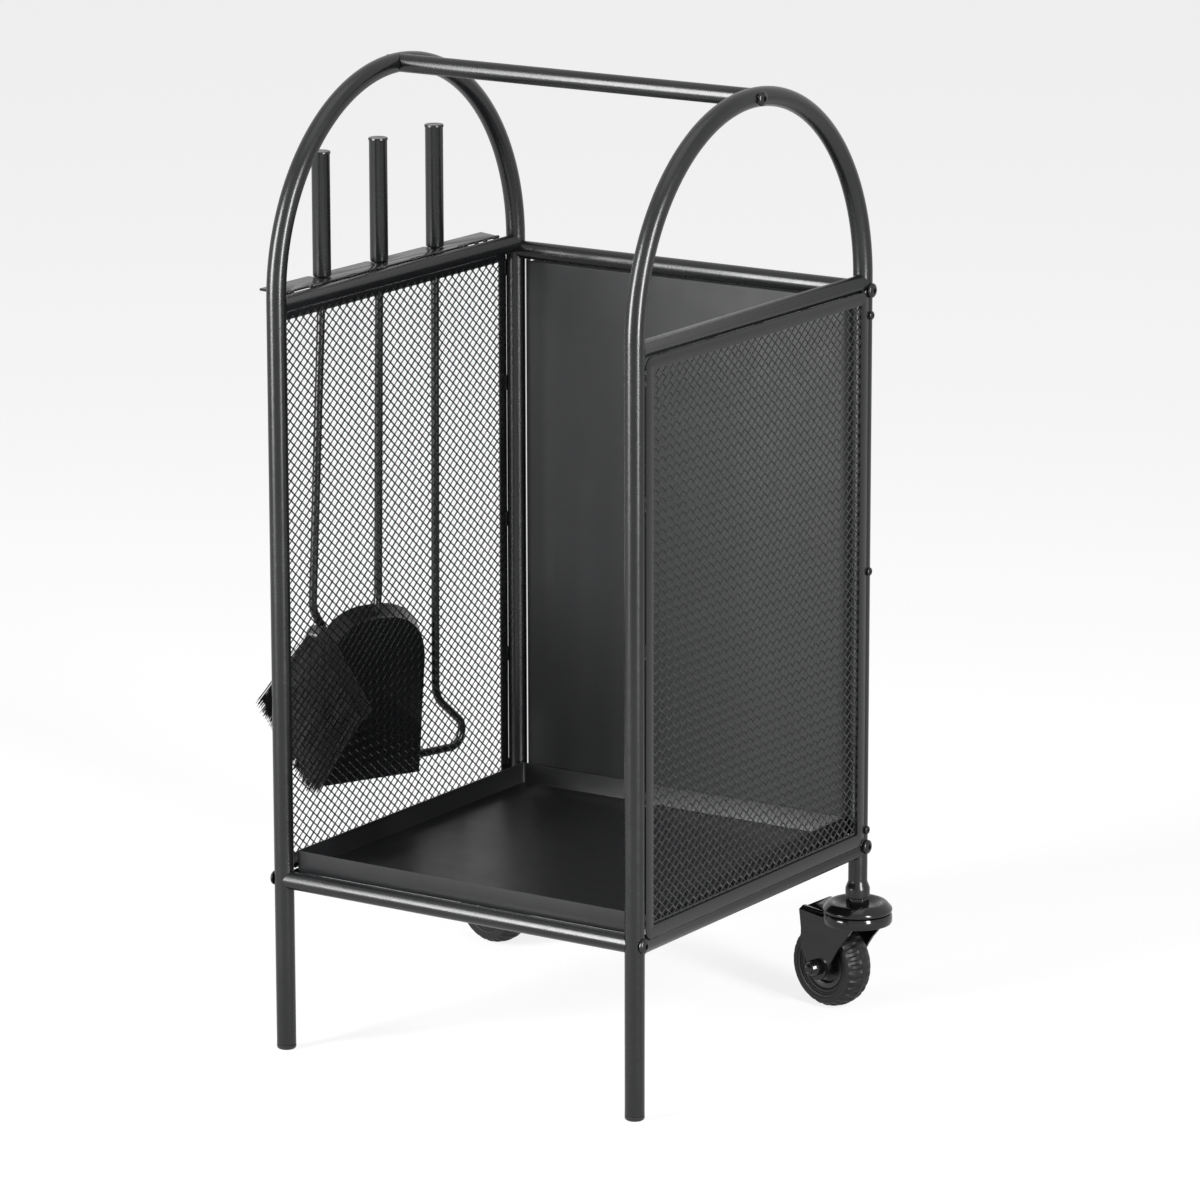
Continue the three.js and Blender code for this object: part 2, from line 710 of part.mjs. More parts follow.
const headIn = onHead(-rodBeforeHead, -headHigh / 2 - rodOverHead);
const headOut = onHead(headLength + toolRodR, -headHigh / 2 - rodOverHead);
const brushRoute = bentRoute([
  [[toolLineX, toolYs[0], rodTopZ], 0],
  [[toolLineX, toolYs[0], plateTopZ], rodTopBendR],
  [[toolLineX, headIn.x, headIn.y], rodTurnR],
  [[toolLineX, headOut.x, headOut.y], 0],
]);
add('brush_rod', sweptTube(brushRoute, toolRodR, 8), 'coat');
add('brush_handle', grip(toolYs[0]), 'coat');

const headEdge = headHigh / 2;
const headFoot = headEdge - bristleSlice;
const rodGroove = sweptTube(brushRoute, toolRodR + seat, 8);
const headBody = headBar(0, headLength, -headEdge, headFoot - seat, headInnerX, headInnerX - headThick);
add('brush_head', headBody.subtract(rodGroove), 'nylon');

// Five rows of strands, three-sided, fused to the slice of the head that holds them.
function bristles() {
  const sliceCorners = [
    onHead(1, headFoot), onHead(headLength - 2, headFoot),
    onHead(headLength - 2, headEdge), onHead(1, headEdge),
  ];
  const outer = headInnerX - headThick + seat;
  const pieces = [slab('x', new THREE.Shape(sliceCorners), outer, headInnerX - seat)];
  const pitch = (headLength - 6) / (bristleColumns - 1);
  const depth = (headThick - 4) / (bristleRows - 1);
  const square = Math.atan2(headDown.y, headDown.x);
  for (let row = 0; row < bristleRows; row += 1) {
    for (let column = 0; column < bristleColumns; column += 1) {
      const length = bristleLength + 3 * Math.sin(12.9 * column + 5.3 * row);
      const strand = new THREE.CylinderGeometry(bristleR, bristleR, length, 3, 1);
      strand.translate(0, length / 2 - 1, 0);
      strand.rotateX(square - bristleLean * (1 - column / (bristleColumns - 1)));
      const foot = onHead(3 + column * pitch, headEdge);
      strand.translate(headInnerX - 2 - row * depth, foot.x, foot.y);
      pieces.push(solid(strand));
    }
  }
  return joined(pieces);
}

add('brush_bristles', bristles(), 'bristle');

// ---------------------------------------------------------------- shovel
// A pan of sheet with an arched top. Its rim flares out along the arch and dies out near the mouth.
const panHalfWidth = 61;
const panStraight = 90; // mouth to the spring of the arch
const panArch = 46.6;
const panFullness = 2.6; // 2 would be a plain ellipse
const panSheet = 1.2;
const panRimDepth = 11;
const panRimFlare = 10;
const panRimStart = 32; // plain edge above the mouth
const panRimFull = 80; // height where the rim has its full depth
const panTilt = THREE.MathUtils.degToRad(6.2);
const panYaw = THREE.MathUtils.degToRad(5.3);
const panReach = 27.5; // mouth to the leg axes
const panMouthDrop = 439; // mouth below the rack plate
const panMouth = new THREE.Vector3(-(legX + panReach), toolYs[1] - 7, plateTopZ - panMouthDrop);
const panArcSteps = 14;

// The pan's own frame: across its mouth, up its length and out of its face, away from the cart.
const panAcross = new THREE.Vector3(
  Math.sin(panYaw), Math.cos(panYaw) * Math.cos(panTilt), -Math.sin(panTilt),
).normalize();
const panRise = new THREE.Vector3(0, Math.sin(panTilt), Math.cos(panTilt));
const panOut = new THREE.Vector3().crossVectors(panRise, panAcross).normalize();
const panUp = new THREE.Vector3().crossVectors(panAcross, panOut).normalize();

function onPan(across, up, out) {
  const point = panMouth.clone().addScaledVector(panAcross, across);
  return point.addScaledVector(panUp, up).addScaledVector(panOut, out);
}

// Outline points from the right foot over the arch to the left foot, with the outward normal.
function panOutline(foot) {
  const points = [];
  for (const up of [foot, (foot + panRimFull) / 2, panRimFull]) points.push([panHalfWidth, up, 1, 0]);
  for (let i = 0; i <= panArcSteps; i += 1) {
    const angle = (i / panArcSteps) * Math.PI;
    const way = Math.sign(Math.cos(angle));
    const wide = Math.abs(Math.cos(angle)) ** (2 / panFullness);
    const tall = Math.abs(Math.sin(angle)) ** (2 / panFullness);
    const normal = new THREE.Vector2(
      (way * wide ** (panFullness - 1)) / panHalfWidth, tall ** (panFullness - 1) / panArch,
    ).normalize();
    points.push([way * panHalfWidth * wide, panStraight + panArch * tall, normal.x, normal.y]);
  }
  for (const up of [panRimFull, (foot + panRimFull) / 2, foot]) points.push([-panHalfWidth, up, -1, 0]);
  return points;
}

function panRim() {
  const rings = panOutline(panRimStart).map(([across, up, nx, ny]) => {
    const share = THREE.MathUtils.smoothstep(up, panRimStart, panRimFull);
    const depth = panSheet * 0.9 + (panRimDepth - panSheet) * share;
    const flare = panRimFlare * share;
    const point = (grow, out) => onPan(across + nx * grow, up + ny * grow, out);
    return [
      point(-panSheet, panSheet * 0.4), point(0, panSheet * 0.4),
      point(flare, depth), point(flare - panSheet, depth),
    ];
  });
  return ribbon(rings);
}

function panFloor() {
  const outline = panOutline(0);
  const lower = outline.map(([across, up]) => onPan(across, up, 0));
  const upper = outline.map(([across, up]) => onPan(across, up, panSheet));
  return ribbon([lower, upper]);
}

const pan = panFloor().add(panRim());
add('shovel_pan', pan, 'coat');

// The rod ends on the rim's outer face, above the floor of the pan.
const panJoinOut = panRimDepth * 0.55;
const panJoin = onPan(2, panStraight + panArch + panRimFlare * 0.5, panJoinOut);
const panJoinEnd = onPan(1, panStraight + panArch - 2, panJoinOut);
const rodFootBendR = 40; // where the rod comes square to the rim
const shovelRoute = bentRoute([
  [[toolLineX, toolYs[1], rodTopZ], 0],
  [[toolLineX, toolYs[1], plateTopZ], rodTopBendR],
  [panJoin.clone().addScaledVector(panUp, 14).toArray(), rodFootBendR],
  [panJoinEnd.toArray(), 0],
]);

function panRimClearance() {
  const rings = panOutline(panRimFull).map(([across, up, nx, ny]) => {
    const point = (grow, out) => onPan(across + nx * grow, up + ny * grow, out);
    return [
      point(-panHalfWidth * 0.3, -1), point(seat, -1), point(seat, panSheet * 0.4),
      point(panRimFlare + seat, panRimDepth), point(panRimFlare + seat, panRimDepth + 4),
      point(-panHalfWidth * 0.3, panRimDepth + 4),
    ];
  });
  return ribbon(rings);
}

add('shovel_rod', sweptTube(shovelRoute, toolRodR, 8).subtract(panRimClearance()), 'coat');
add('shovel_handle', grip(toolYs[1]), 'coat');

// ---------------------------------------------------------------- poker
// The rod bends out to a knee and turns back under itself to a pointed hook.
const pokerY = toolYs[2];
const pokerTipLength = 12;
const pokerBendR = 24;
const pokerKneeR = 13;
const pokerBendDrop = 386.5; // corners of the route below the rack plate
const pokerKneeDrop = 441.7;
const pokerHookDrop = 433;
const pokerKneeOut = 73; // knee corner behind the rod
const pokerHookBack = 18;
const pokerBend = [toolLineX - 3, pokerY, plateTopZ - pokerBendDrop];
const pokerKnee = [toolLineX - 6, pokerY + pokerKneeOut, plateTopZ - pokerKneeDrop];
const pokerHookEnd = [toolLineX - 8, pokerY - pokerHookBack, plateTopZ - pokerHookDrop];
const pokerRoute = bentRoute([
  [[toolLineX, pokerY, rodTopZ], 0],
  [[toolLineX, pokerY, plateTopZ], rodTopBendR],
  [pokerBend, pokerBendR],
  [pokerKnee, pokerKneeR],
  [pokerHookEnd, 0],
], 5);
const tip = new THREE.CylinderGeometry(1, toolRodR, pokerTipLength, 8);
const hookDir = new THREE.Vector3(...pokerHookEnd).sub(new THREE.Vector3(...pokerKnee)).normalize();
tip.translate(0, pokerTipLength / 2 - 0.5, 0);
tip.applyQuaternion(new THREE.Quaternion().setFromUnitVectors(new THREE.Vector3(0, 1, 0), hookDir));
tip.translate(...pokerHookEnd);
add('poker_rod', sweptTube(pokerRoute, toolRodR, 8).add(solid(tip)), 'coat');
add('poker_handle', grip(pokerY), 'coat');

// ---------------------------------------------------------------- casters
// Threaded stem and nut, fixed upper race, swivelling fork and a wheel on a bolt through the fork.
const nutTopZ = legEndZ - seat;
const nutBottomZ = nutTopZ - stemNutHeight;
const cupHubZ = nutBottomZ - seat;
const cupSheet = 2;
const cupRimTopZ = cupHubZ - 0.5;
const cupRimBottomZ = cupRimTopZ - 3;
const forkTopZ = cupRimBottomZ - seat;
const forkBottomZ = forkTopZ - forkPlateHeight;
const forkFloorZ = forkTopZ - forkSheet - 0.4;
const rivetR = stemR + 2.4;

function casterParts(name, x, y) {
  const at = [x, y, 0];
  const rivetTopZ = forkFloorZ - seat;
  const stem = joined([
    bar('z', at, rivetTopZ - 0.5, legEndZ + 1.8 * plugLength, stemR, 12),
    slab('z', hexagon(stemNutFlat), nutBottomZ, nutTopZ).translate([x, y, 0]),
    turned('z', at, [
      [0, rivetTopZ - 3.2], [rivetR - 2.4, rivetTopZ - 3.2], [rivetR, rivetTopZ - 1.6], [rivetR, rivetTopZ],
      [0, rivetTopZ],
    ], 12),
  ]);
  add(`${name}_caster_stem`, stem, 'gloss');

  const plugR = legFlareR - boreWall - seat;
  const flareMidZ = legEndZ + legFlareHeight / 2;
  const insert = turned('z', at, [
    [stemR + seat, legEndZ + 0.5], [plugR, legEndZ + 0.5], [plugR, flareMidZ - 0.5],
    [hoopTubeR - boreWall - seat, legEndZ + legFlareHeight - 0.5],
    [hoopTubeR - boreWall - seat, legEndZ + 1.6 * plugLength],
    [stemR + seat, legEndZ + 1.6 * plugLength], [stemR + seat, legEndZ + 0.5],
  ], 12);
  add(`${name}_leg_insert`, insert, 'steel');

  const crest = cupHubZ + cupRise;
  const cup = turned('z', at, [
    [stemR + seat, cupHubZ - cupSheet], [13, cupHubZ - cupSheet], [20.5, crest - cupSheet - 0.4],
    [24, crest - cupSheet - 0.4], [cupR - 2.5, cupRimBottomZ], [cupR - 0.8, cupRimBottomZ],
    [cupR, cupRimBottomZ + 1.2], [cupR - 0.6, cupRimTopZ + 0.6], [24.8, crest - 0.8], [22, crest],
    [19.5, crest - 0.8], [12.5, cupHubZ], [stemR + seat, cupHubZ], [stemR + seat, cupHubZ - cupSheet],
  ], 20);
  add(`${name}_caster_cup`, cup, 'gloss');

  const swung = (body) => body.rotate([0, 0, -casterYaw]).translate([x, y, 0]);
  add(`${name}_caster_fork`, swung(fork()), 'gloss');

  const outFace = forkGap + forkSheet;
  const axleAt = [-casterTrail, 0, wheelR];
  const boltEnd = -(outFace + axleNutHeight + 1.5);
  const headFace = outFace + seat;
  const bolt = bar('y', axleAt, boltEnd, headFace + 0.5, axleR, 12).add(
    turned('y', axleAt, [[0, headFace], [axleHeadR, headFace], [axleHeadR, headFace + 2.2],
      [axleHeadR * 0.7, headFace + axleHeadHeight - 0.5], [0, headFace + axleHeadHeight]], 14),
  );
  add(`${name}_axle_bolt`, swung(bolt), 'gloss');
  const nutFace = -(outFace + seat);
  const nut = turned('y', axleAt, [
    [axleR + seat, nutFace], [axleNutR, nutFace], [axleNutR, nutFace - axleNutHeight * 0.55],
    [axleNutR * 0.75, nutFace - axleNutHeight], [axleR + seat, nutFace - axleNutHeight],
    [axleR + seat, nutFace],
  ], 12);
  add(`${name}_axle_nut`, swung(nut), 'gloss');

  add(`${name}_wheel_hub`, swung(hub(axleAt)), 'nylon');
  add(`${name}_tyre`, swung(tyre(axleAt)), 'rubber');
}

// Pressed steel: a round plate with its edge turned down, a lower web behind it and two legs.
// Drawn about the swivel axis with the wheel trailing towards -X.
function fork() {
  const plate = turned('z', [0, 0, 0], [
    [stemR + seat, forkFloorZ], [cupR - 4.5, forkFloorZ], [cupR - forkSheet, forkBottomZ],
    [cupR - 0.6, forkBottomZ], [cupR, forkBottomZ + 1.4], [cupR, forkTopZ - 2.4], [cupR - 2, forkTopZ],
    [stemR + seat, forkTopZ], [stemR + seat, forkFloorZ],
  ], 20);
  const webTopZ = forkTopZ - forkWebDrop;
  const outFace = forkGap + forkSheet;
  const web = block([-forkWebReach, -outFace, webTopZ - forkSheet], [9 - cupR, outFace, webTopZ]);
  const pinHole = bar('z', [0, 0, 0], forkBottomZ - 2, forkTopZ + 1, stemR + seat, 12);
  const axleHole = bar('y', [-casterTrail, 0, wheelR], -forkGap - 5, forkGap + 5, axleR + seat, 12);
  const leg = forkLeg(webTopZ);
  const legs = [slab('y', leg, -outFace, -forkGap, 5), slab('y', leg, forkGap, outFace, 5)];
  return cut(joined([plate, web, ...legs]), [pinHole, axleHole]);
}

// One fork leg: down at the back to the round boss at the axle, raked up in front to the plate.
function forkLeg(webTopZ) {
  const heelX = -forkWebReach + 0.5;
  const shape = new THREE.Shape();
  shape.moveTo(heelX, webTopZ - 1);
  shape.lineTo(heelX, wheelR + 14);
  shape.lineTo(-casterTrail - forkBossR + 0.3, wheelR + 3);
  shape.absarc(-casterTrail, wheelR, forkBossR, Math.PI * 0.96, Math.PI * 2.12, false);
  shape.lineTo(-12, wheelR + 7.5);
  shape.lineTo(-9, wheelR + 12.5);
  shape.lineTo(-1, wheelR + 24.5);
  shape.lineTo(11, forkBottomZ - 2.4);
  shape.lineTo(12.5, forkFloorZ + 0.6);
  shape.lineTo(12 - cupR, forkFloorZ + 0.6);
  shape.lineTo(9 - cupR, webTopZ - 1);
  shape.closePath();
  return shape;
}

function hub(at) {
  const boreR = axleR + seat;
  const bossEnd = forkGap - seat;
  const rimHalf = wheelWidth / 2 - 4;
  return turned('y', at, [
    [boreR, -bossEnd], [8, -bossEnd], [8.8, -3.5], [15.5, -rimHalf + 1.5], [hubR, -rimHalf],
    [hubR, rimHalf], [15.5, rimHalf - 1.5], [8.8, 3.5], [8, bossEnd], [boreR, bossEnd], [boreR, -bossEnd],
  ], 14);
}

// Rubber tyre with a raised ring on each wall and a rounded crown.
function tyre(at) {
  const half = wheelWidth / 2;
  const inner = hubR + seat;
  const wall = [
    [inner, half - 4.2], [inner + 4.6, half - 2.4], [inner + 5.4, half - 0.8],
    [wheelR - 4.6, half], [wheelR - 1.6, half - 4], [wheelR, 0],
  ];
  const otherWall = wall.slice(0, -1).reverse().map(([r, h]) => [r, -h]);
  return turned('y', at, [...wall, ...otherWall, wall[0]], 28);
}

casterParts('left', -legX, legY);
casterParts('right', legX, legY);

export default cart;
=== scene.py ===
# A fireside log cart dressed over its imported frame: satin black tube hoops and rails, expanded-metal
# sides, a sheet back, a drop-in tray, three hearth tools in a rack and two swivel casters. The
# sections follow the cart as it is welded, bolted and hung together. Metres, +Z up.
import math

import bmesh
import bpy
from mathutils import Matrix, Vector


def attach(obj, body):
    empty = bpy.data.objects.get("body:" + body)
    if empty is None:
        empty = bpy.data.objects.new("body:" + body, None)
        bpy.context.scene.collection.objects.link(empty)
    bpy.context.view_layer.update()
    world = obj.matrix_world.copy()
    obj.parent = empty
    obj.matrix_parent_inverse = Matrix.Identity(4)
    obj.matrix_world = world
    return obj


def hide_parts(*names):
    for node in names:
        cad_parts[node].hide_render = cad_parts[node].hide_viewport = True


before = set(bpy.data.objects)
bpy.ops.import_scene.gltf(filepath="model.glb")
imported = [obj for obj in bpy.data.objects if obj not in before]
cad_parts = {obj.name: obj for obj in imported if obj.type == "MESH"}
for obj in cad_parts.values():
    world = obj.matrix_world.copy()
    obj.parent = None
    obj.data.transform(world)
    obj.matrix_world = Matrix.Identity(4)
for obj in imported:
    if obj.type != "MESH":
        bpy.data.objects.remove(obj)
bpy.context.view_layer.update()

# ------------------------------------------------------------------------------ camera and studio
# The cart stands on a white floor that runs into a white backdrop, seen from its front right corner
# through a long lens. A wide soft box on its left, a narrow one on its right and a weak one above
# draw the long highlights on the tubes.
CAMERA_PLACE = (2.705, -4.072, 1.548)
CAMERA_TURN, CAMERA_DOWN, CAMERA_ROLL = math.radians(33.34), math.radians(13.6), math.radians(-0.09)
WHITE = (1, 1, 1, 1)
PAPER_GREY = (0.26, 0.26, 0.26, 1)
SKY_LIGHT, FLOOR_LIGHT = 0.18, 0.8
SKY_IN_GLOSS, FLOOR_IN_GLOSS = 0.75, 0.7
FLOOR_REACH, FLOOR_DROP = 6, 0.0006

camera = bpy.data.objects.new("camera", bpy.data.cameras.new("camera"))
camera.data.lens = 185.55
camera.data.sensor_width = 36
camera.matrix_world = (
    Matrix.Translation(CAMERA_PLACE)
    @ Matrix.Rotation(CAMERA_TURN, 4, "Z")
    @ Matrix.Rotation(math.pi / 2 - CAMERA_DOWN, 4, "X")
    @ Matrix.Rotation(CAMERA_ROLL, 4, "Z")
)
camera.data.clip_end = 50
bpy.context.collection.objects.link(camera)
bpy.context.scene.camera = camera
bpy.context.scene.view_settings.view_transform = "Standard"


def seen_directly(tree, in_gloss):
    """1 where the camera looks straight at it, and `in_gloss` where it shows in a reflection."""
    path = tree.nodes.new("ShaderNodeLightPath")
    gloss = tree.nodes.new("ShaderNodeMath")
    gloss.operation = "MULTIPLY"
    gloss.inputs[1].default_value = in_gloss
    tree.links.new(path.outputs["Is Glossy Ray"], gloss.inputs[0])
    through = tree.nodes.new("ShaderNodeMath")
    through.operation = "MAXIMUM"
    tree.links.new(path.outputs["Is Camera Ray"], through.inputs[0])
    tree.links.new(path.outputs["Is Transmission Ray"], through.inputs[1])
    seen = tree.nodes.new("ShaderNodeMath")
    seen.operation = "MAXIMUM"
    tree.links.new(through.outputs[0], seen.inputs[0])
    tree.links.new(gloss.outputs[0], seen.inputs[1])
    return seen.outputs[0]


world = bpy.data.worlds.new("studio")
bpy.context.scene.world = world
world.use_nodes = True
studio = world.node_tree
sky = studio.nodes["Background"]
sky.inputs["Color"].default_value = WHITE
sky.inputs["Strength"].default_value = SKY_LIGHT
backdrop = studio.nodes.new("ShaderNodeBackground")
backdrop.inputs["Color"].default_value = WHITE
backdrop_mix = studio.nodes.new("ShaderNodeMixShader")
studio.links.new(seen_directly(studio, SKY_IN_GLOSS), backdrop_mix.inputs[0])
studio.links.new(sky.outputs[0], backdrop_mix.inputs[1])
studio.links.new(backdrop.outputs[0], backdrop_mix.inputs[2])
studio.links.new(backdrop_mix.outputs[0], studio.nodes["World Output"].inputs["Surface"])


def soft_box(name, place, aim, size, watts):
    lamp = bpy.data.lights.new(name, "AREA")
    lamp.shape = "RECTANGLE"
    lamp.size, lamp.size_y = size
    lamp.energy = watts
    box = bpy.data.objects.new(name, lamp)
    box.location = place
    box.rotation_euler = (Vector(aim) - Vector(place)).to_track_quat("-Z", "Y").to_euler()
    bpy.context.collection.objects.link(box)


soft_box("left_box", (-1.17, -2.40, 1.27), (0, 0, 1.27), (0.9, 2.2), 150)
soft_box("right_box", (2.55, -0.80, 1.20), (0, 0, 1.20), (0.5, 2.1), 120)
soft_box("top_box", (0.1, -0.2, 2.8), (0, 0, 0.3), (1.8, 1.8), 8)

floor_mesh = bmesh.new()
bmesh.ops.create_grid(floor_mesh, x_segments=1, y_segments=1, size=FLOOR_REACH)
floor_data = bpy.data.meshes.new("floor")
floor_mesh.to_mesh(floor_data)
floor = bpy.data.objects.new("floor", floor_data)
floor.location = (0, 0, -FLOOR_DROP)
bpy.context.collection.objects.link(floor)
paper = bpy.data.materials.new("white_floor")
paper.use_nodes = True
paper_tree = paper.node_tree
paper_shader = paper_tree.nodes["Principled BSDF"]
paper_shader.inputs["Base Color"].default_value = PAPER_GREY
paper_shader.inputs["Roughness"].default_value = 0.9
paper_shader.inputs["Specular IOR Level"].default_value = 0.0
paper_glow = paper_tree.nodes.new("ShaderNodeEmission")
paper_level = paper_tree.nodes.new("ShaderNodeMath")
paper_level.operation = "MULTIPLY"
paper_level.inputs[1].default_value = FLOOR_LIGHT
paper_tree.links.new(seen_directly(paper_tree, FLOOR_IN_GLOSS), paper_level.inputs[0])
paper_tree.links.new(paper_level.outputs[0], paper_glow.inputs["Strength"])
paper_sum = paper_tree.nodes.new("ShaderNodeAddShader")
paper_tree.links.new(paper_shader.outputs[0], paper_sum.inputs[0])
paper_tree.links.new(paper_glow.outputs[0], paper_sum.inputs[1])
paper_tree.links.new(paper_sum.outputs[0], paper_tree.nodes["Material Output"].inputs["Surface"])
floor_data.materials.append(paper)

# ------------------------------------------------------------------------------ hoops
# Each side is one length of 16 mm steel tube bent into an arch, sprayed with satin black powder. The
# rear leg is pushed out into a wider mouth that takes the caster's threaded plug.
LEG = 0.170  # leg axes each way from the middle of the cart
HOOP_TUBE, TUBE_WALL = 0.008, 0.0012
TUBE_SEEN = 0.006  # how far the inside of an open tube end is followed
ARCH_CENTRE = 0.622
FOOT_TOP = 0.0043
MOUTH_TOP, MOUTH_FLARE, MOUTH_LONG, MOUTH_STEPS = 0.1145, 0.0022, 0.0075, 6
MOUTH_COLLAR, MOUTH_LIP = 0.0065, 0.0005
SIDES = {"left": -1, "right": 1}


def noise(tree, coordinates, scale, detail=3.0, roughness=0.5):
    texture = tree.nodes.new("ShaderNodeTexNoise")
    texture.inputs["Scale"].default_value = scale
    texture.inputs["Detail"].default_value = detail
    texture.inputs["Roughness"].default_value = roughness
    tree.links.new(coordinates, texture.inputs["Vector"])
    return texture.outputs["Fac"]


def spread(tree, value, low, high, start=0.3, end=0.7):
    remap = tree.nodes.new("ShaderNodeMapRange")
    for socket, number in (("From Min", start), ("From Max", end), ("To Min", low), ("To Max", high)):
        remap.inputs[socket].default_value = number
    tree.links.new(value, remap.inputs["Value"])
    return remap.outputs["Result"]


def two_tone(tree, value, dark, light):
    ramp = tree.nodes.new("ShaderNodeValToRGB")
    ramp.color_ramp.elements[0].position = 0.3
    ramp.color_ramp.elements[0].color = (*dark, 1)
    ramp.color_ramp.elements[1].position = 0.72
    ramp.color_ramp.elements[1].color = (*light, 1)
    tree.links.new(value, ramp.inputs["Fac"])
    return ramp.outputs["Color"]


def finish_of(name, dark, light, rough, grain, grain_depth, patch=9.0, metallic=0.0, specular=0.5):
    """A sprayed or moulded finish: slow patches in tone and gloss, and a fine skin of grain."""
    material = bpy.data.materials.new(name)
    material.use_nodes = True
    tree = material.node_tree
    shader = tree.nodes["Principled BSDF"]
    place = tree.nodes.new("ShaderNodeTexCoord").outputs["Object"]
    slow = noise(tree, place, patch, 4.0, 0.55)
    tree.links.new(two_tone(tree, slow, dark, light), shader.inputs["Base Color"])
    fine = noise(tree, place, grain, 2.0, 0.6)
    scuff = noise(tree, place, patch * 14, 5.0, 0.65)
    gloss = tree.nodes.new("ShaderNodeMath")
    gloss.operation = "ADD"
    tree.links.new(spread(tree, scuff, rough[0], rough[1]), gloss.inputs[0])
    tree.links.new(spread(tree, slow, -0.03, 0.03), gloss.inputs[1])
    tree.links.new(gloss.outputs[0], shader.inputs["Roughness"])
    bump = tree.nodes.new("ShaderNodeBump")
    bump.inputs["Strength"].default_value = 0.35
    bump.inputs["Distance"].default_value = grain_depth
    tree.links.new(fine, bump.inputs["Height"])
    tree.links.new(bump.outputs["Normal"], shader.inputs["Normal"])
    shader.inputs["Metallic"].default_value = metallic
    shader.inputs["Specular IOR Level"].default_value = specular
    return material


satin_coat = finish_of(
    "satin_powder_coat", (0.0035, 0.0038, 0.0043), (0.006, 0.0063, 0.0069), (0.22, 0.29), 1500, 0.00004
)


def piece(name, bm, body, stands_for, material, crease=35):
    """Closes a bmesh into a smooth-shaded piece that stands for its CAD nodes and rides on a body."""
    bmesh.ops.remove_doubles(bm, verts=bm.verts[:], dist=1e-6)
    bmesh.ops.recalc_face_normals(bm, faces=bm.faces[:])
    for face in bm.faces:
        face.smooth = True
    for edge in bm.edges:
        if len(edge.link_faces) == 2:
            edge.smooth = edge.calc_face_angle(0) < math.radians(crease)
    mesh = bpy.data.meshes.new(name)
    bm.to_mesh(mesh)
    bm.free()
    mesh.materials.append(material)
    made = bpy.data.objects.new(name, mesh)
    bpy.context.collection.objects.link(made)
    if stands_for:
        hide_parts(*stands_for)
    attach(made, body)


def ring(bm, centre, along, radius, sides=40):
    """An open circle of edges round `centre`, square to `along`."""
    turn = Vector((0, 0, 1)).rotation_difference(Vector(along)).to_matrix().to_4x4()
    made = bmesh.ops.create_circle(bm, segments=sides, radius=radius, cap_ends=False)
    bmesh.ops.transform(bm, matrix=Matrix.Translation(centre) @ turn, verts=made["verts"])
    return list(dict.fromkeys(edge for vert in made["verts"] for edge in vert.link_edges))


def rim_verts(rim):
    """The corners of a rim, each once and always in the same order."""
    return list(dict.fromkeys(vert for edge in rim for vert in edge.verts))


def push(bm, rim, by, widen=1.0):
    """Extrudes an open rim along `by` and widens it about its own middle."""
    grown = bmesh.ops.extrude_edge_only(bm, edges=rim)["geom"]
    verts = [item for item in grown if isinstance(item, bmesh.types.BMVert)]
    middle = sum((vert.co for vert in verts), Vector()) / len(verts)
    for vert in verts:
        vert.co = middle + (vert.co - middle) * widen + Vector(by)
    return [item for item in grown if isinstance(item, bmesh.types.BMEdge)]


def swing(bm, rim, centre, axis, angle, steps):
    """Bends the tube on: spins an open rim about an axis."""
    swept = bmesh.ops.spin(
        bm, geom=rim + rim_verts(rim), cent=centre, axis=axis, angle=angle, steps=steps,
        use_duplicate=False,
    )
    return [item for item in swept["geom_last"] if isinstance(item, bmesh.types.BMEdge)]


def close(bm, rim):
    bmesh.ops.edgeloop_fill(bm, edges=rim)


def mouth_radius(step):
    """The radius of the flare after a number of its steps, from the plain tube to the full mouth."""
    share = step / MOUTH_STEPS
    return HOOP_TUBE + MOUTH_FLARE * (3 * share**2 - 2 * share**3)


for side, way in SIDES.items():
    hoop = bmesh.new()
    x = way * LEG
    inner = ring(hoop, (x, -LEG, FOOT_TOP + TUBE_SEEN), (0, 0, 1), HOOP_TUBE - TUBE_WALL, 48)
    rim = push(hoop, inner, (0, 0, -TUBE_SEEN))
    rim = push(hoop, rim, (0, 0, 0), HOOP_TUBE / (HOOP_TUBE - TUBE_WALL))
    rim = push(hoop, rim, (0, 0, ARCH_CENTRE - FOOT_TOP))
    rim = swing(hoop, rim, (x, 0, ARCH_CENTRE), (-1, 0, 0), math.pi, 72)
    rim = push(hoop, rim, (0, 0, MOUTH_TOP - ARCH_CENTRE))
    for step in range(MOUTH_STEPS):
        wider = mouth_radius(step + 1) / mouth_radius(step)
        rim = push(hoop, rim, (0, 0, -MOUTH_LONG / MOUTH_STEPS), wider)
    rim = push(hoop, rim, (0, 0, -MOUTH_COLLAR))
    rim = push(hoop, rim, (0, 0, -MOUTH_LIP), 0.965)
    rim = push(hoop, rim, (0, 0, 0), 0.9)
    push(hoop, rim, (0, 0, TUBE_SEEN))
    piece(f"{side}_hoop_tube", hoop, "cart", [f"{side}_hoop"], satin_coat)

# ------------------------------------------------------------------------------ foot caps
# Moulded black plugs pushed into the open ends of the two front legs, with a flange that the cart
# stands on and a softly rounded edge.
black_nylon = finish_of(
    "black_nylon", (0.006, 0.006, 0.0065), (0.010, 0.010, 0.0105), (0.3, 0.42), 900, 0.00008
)


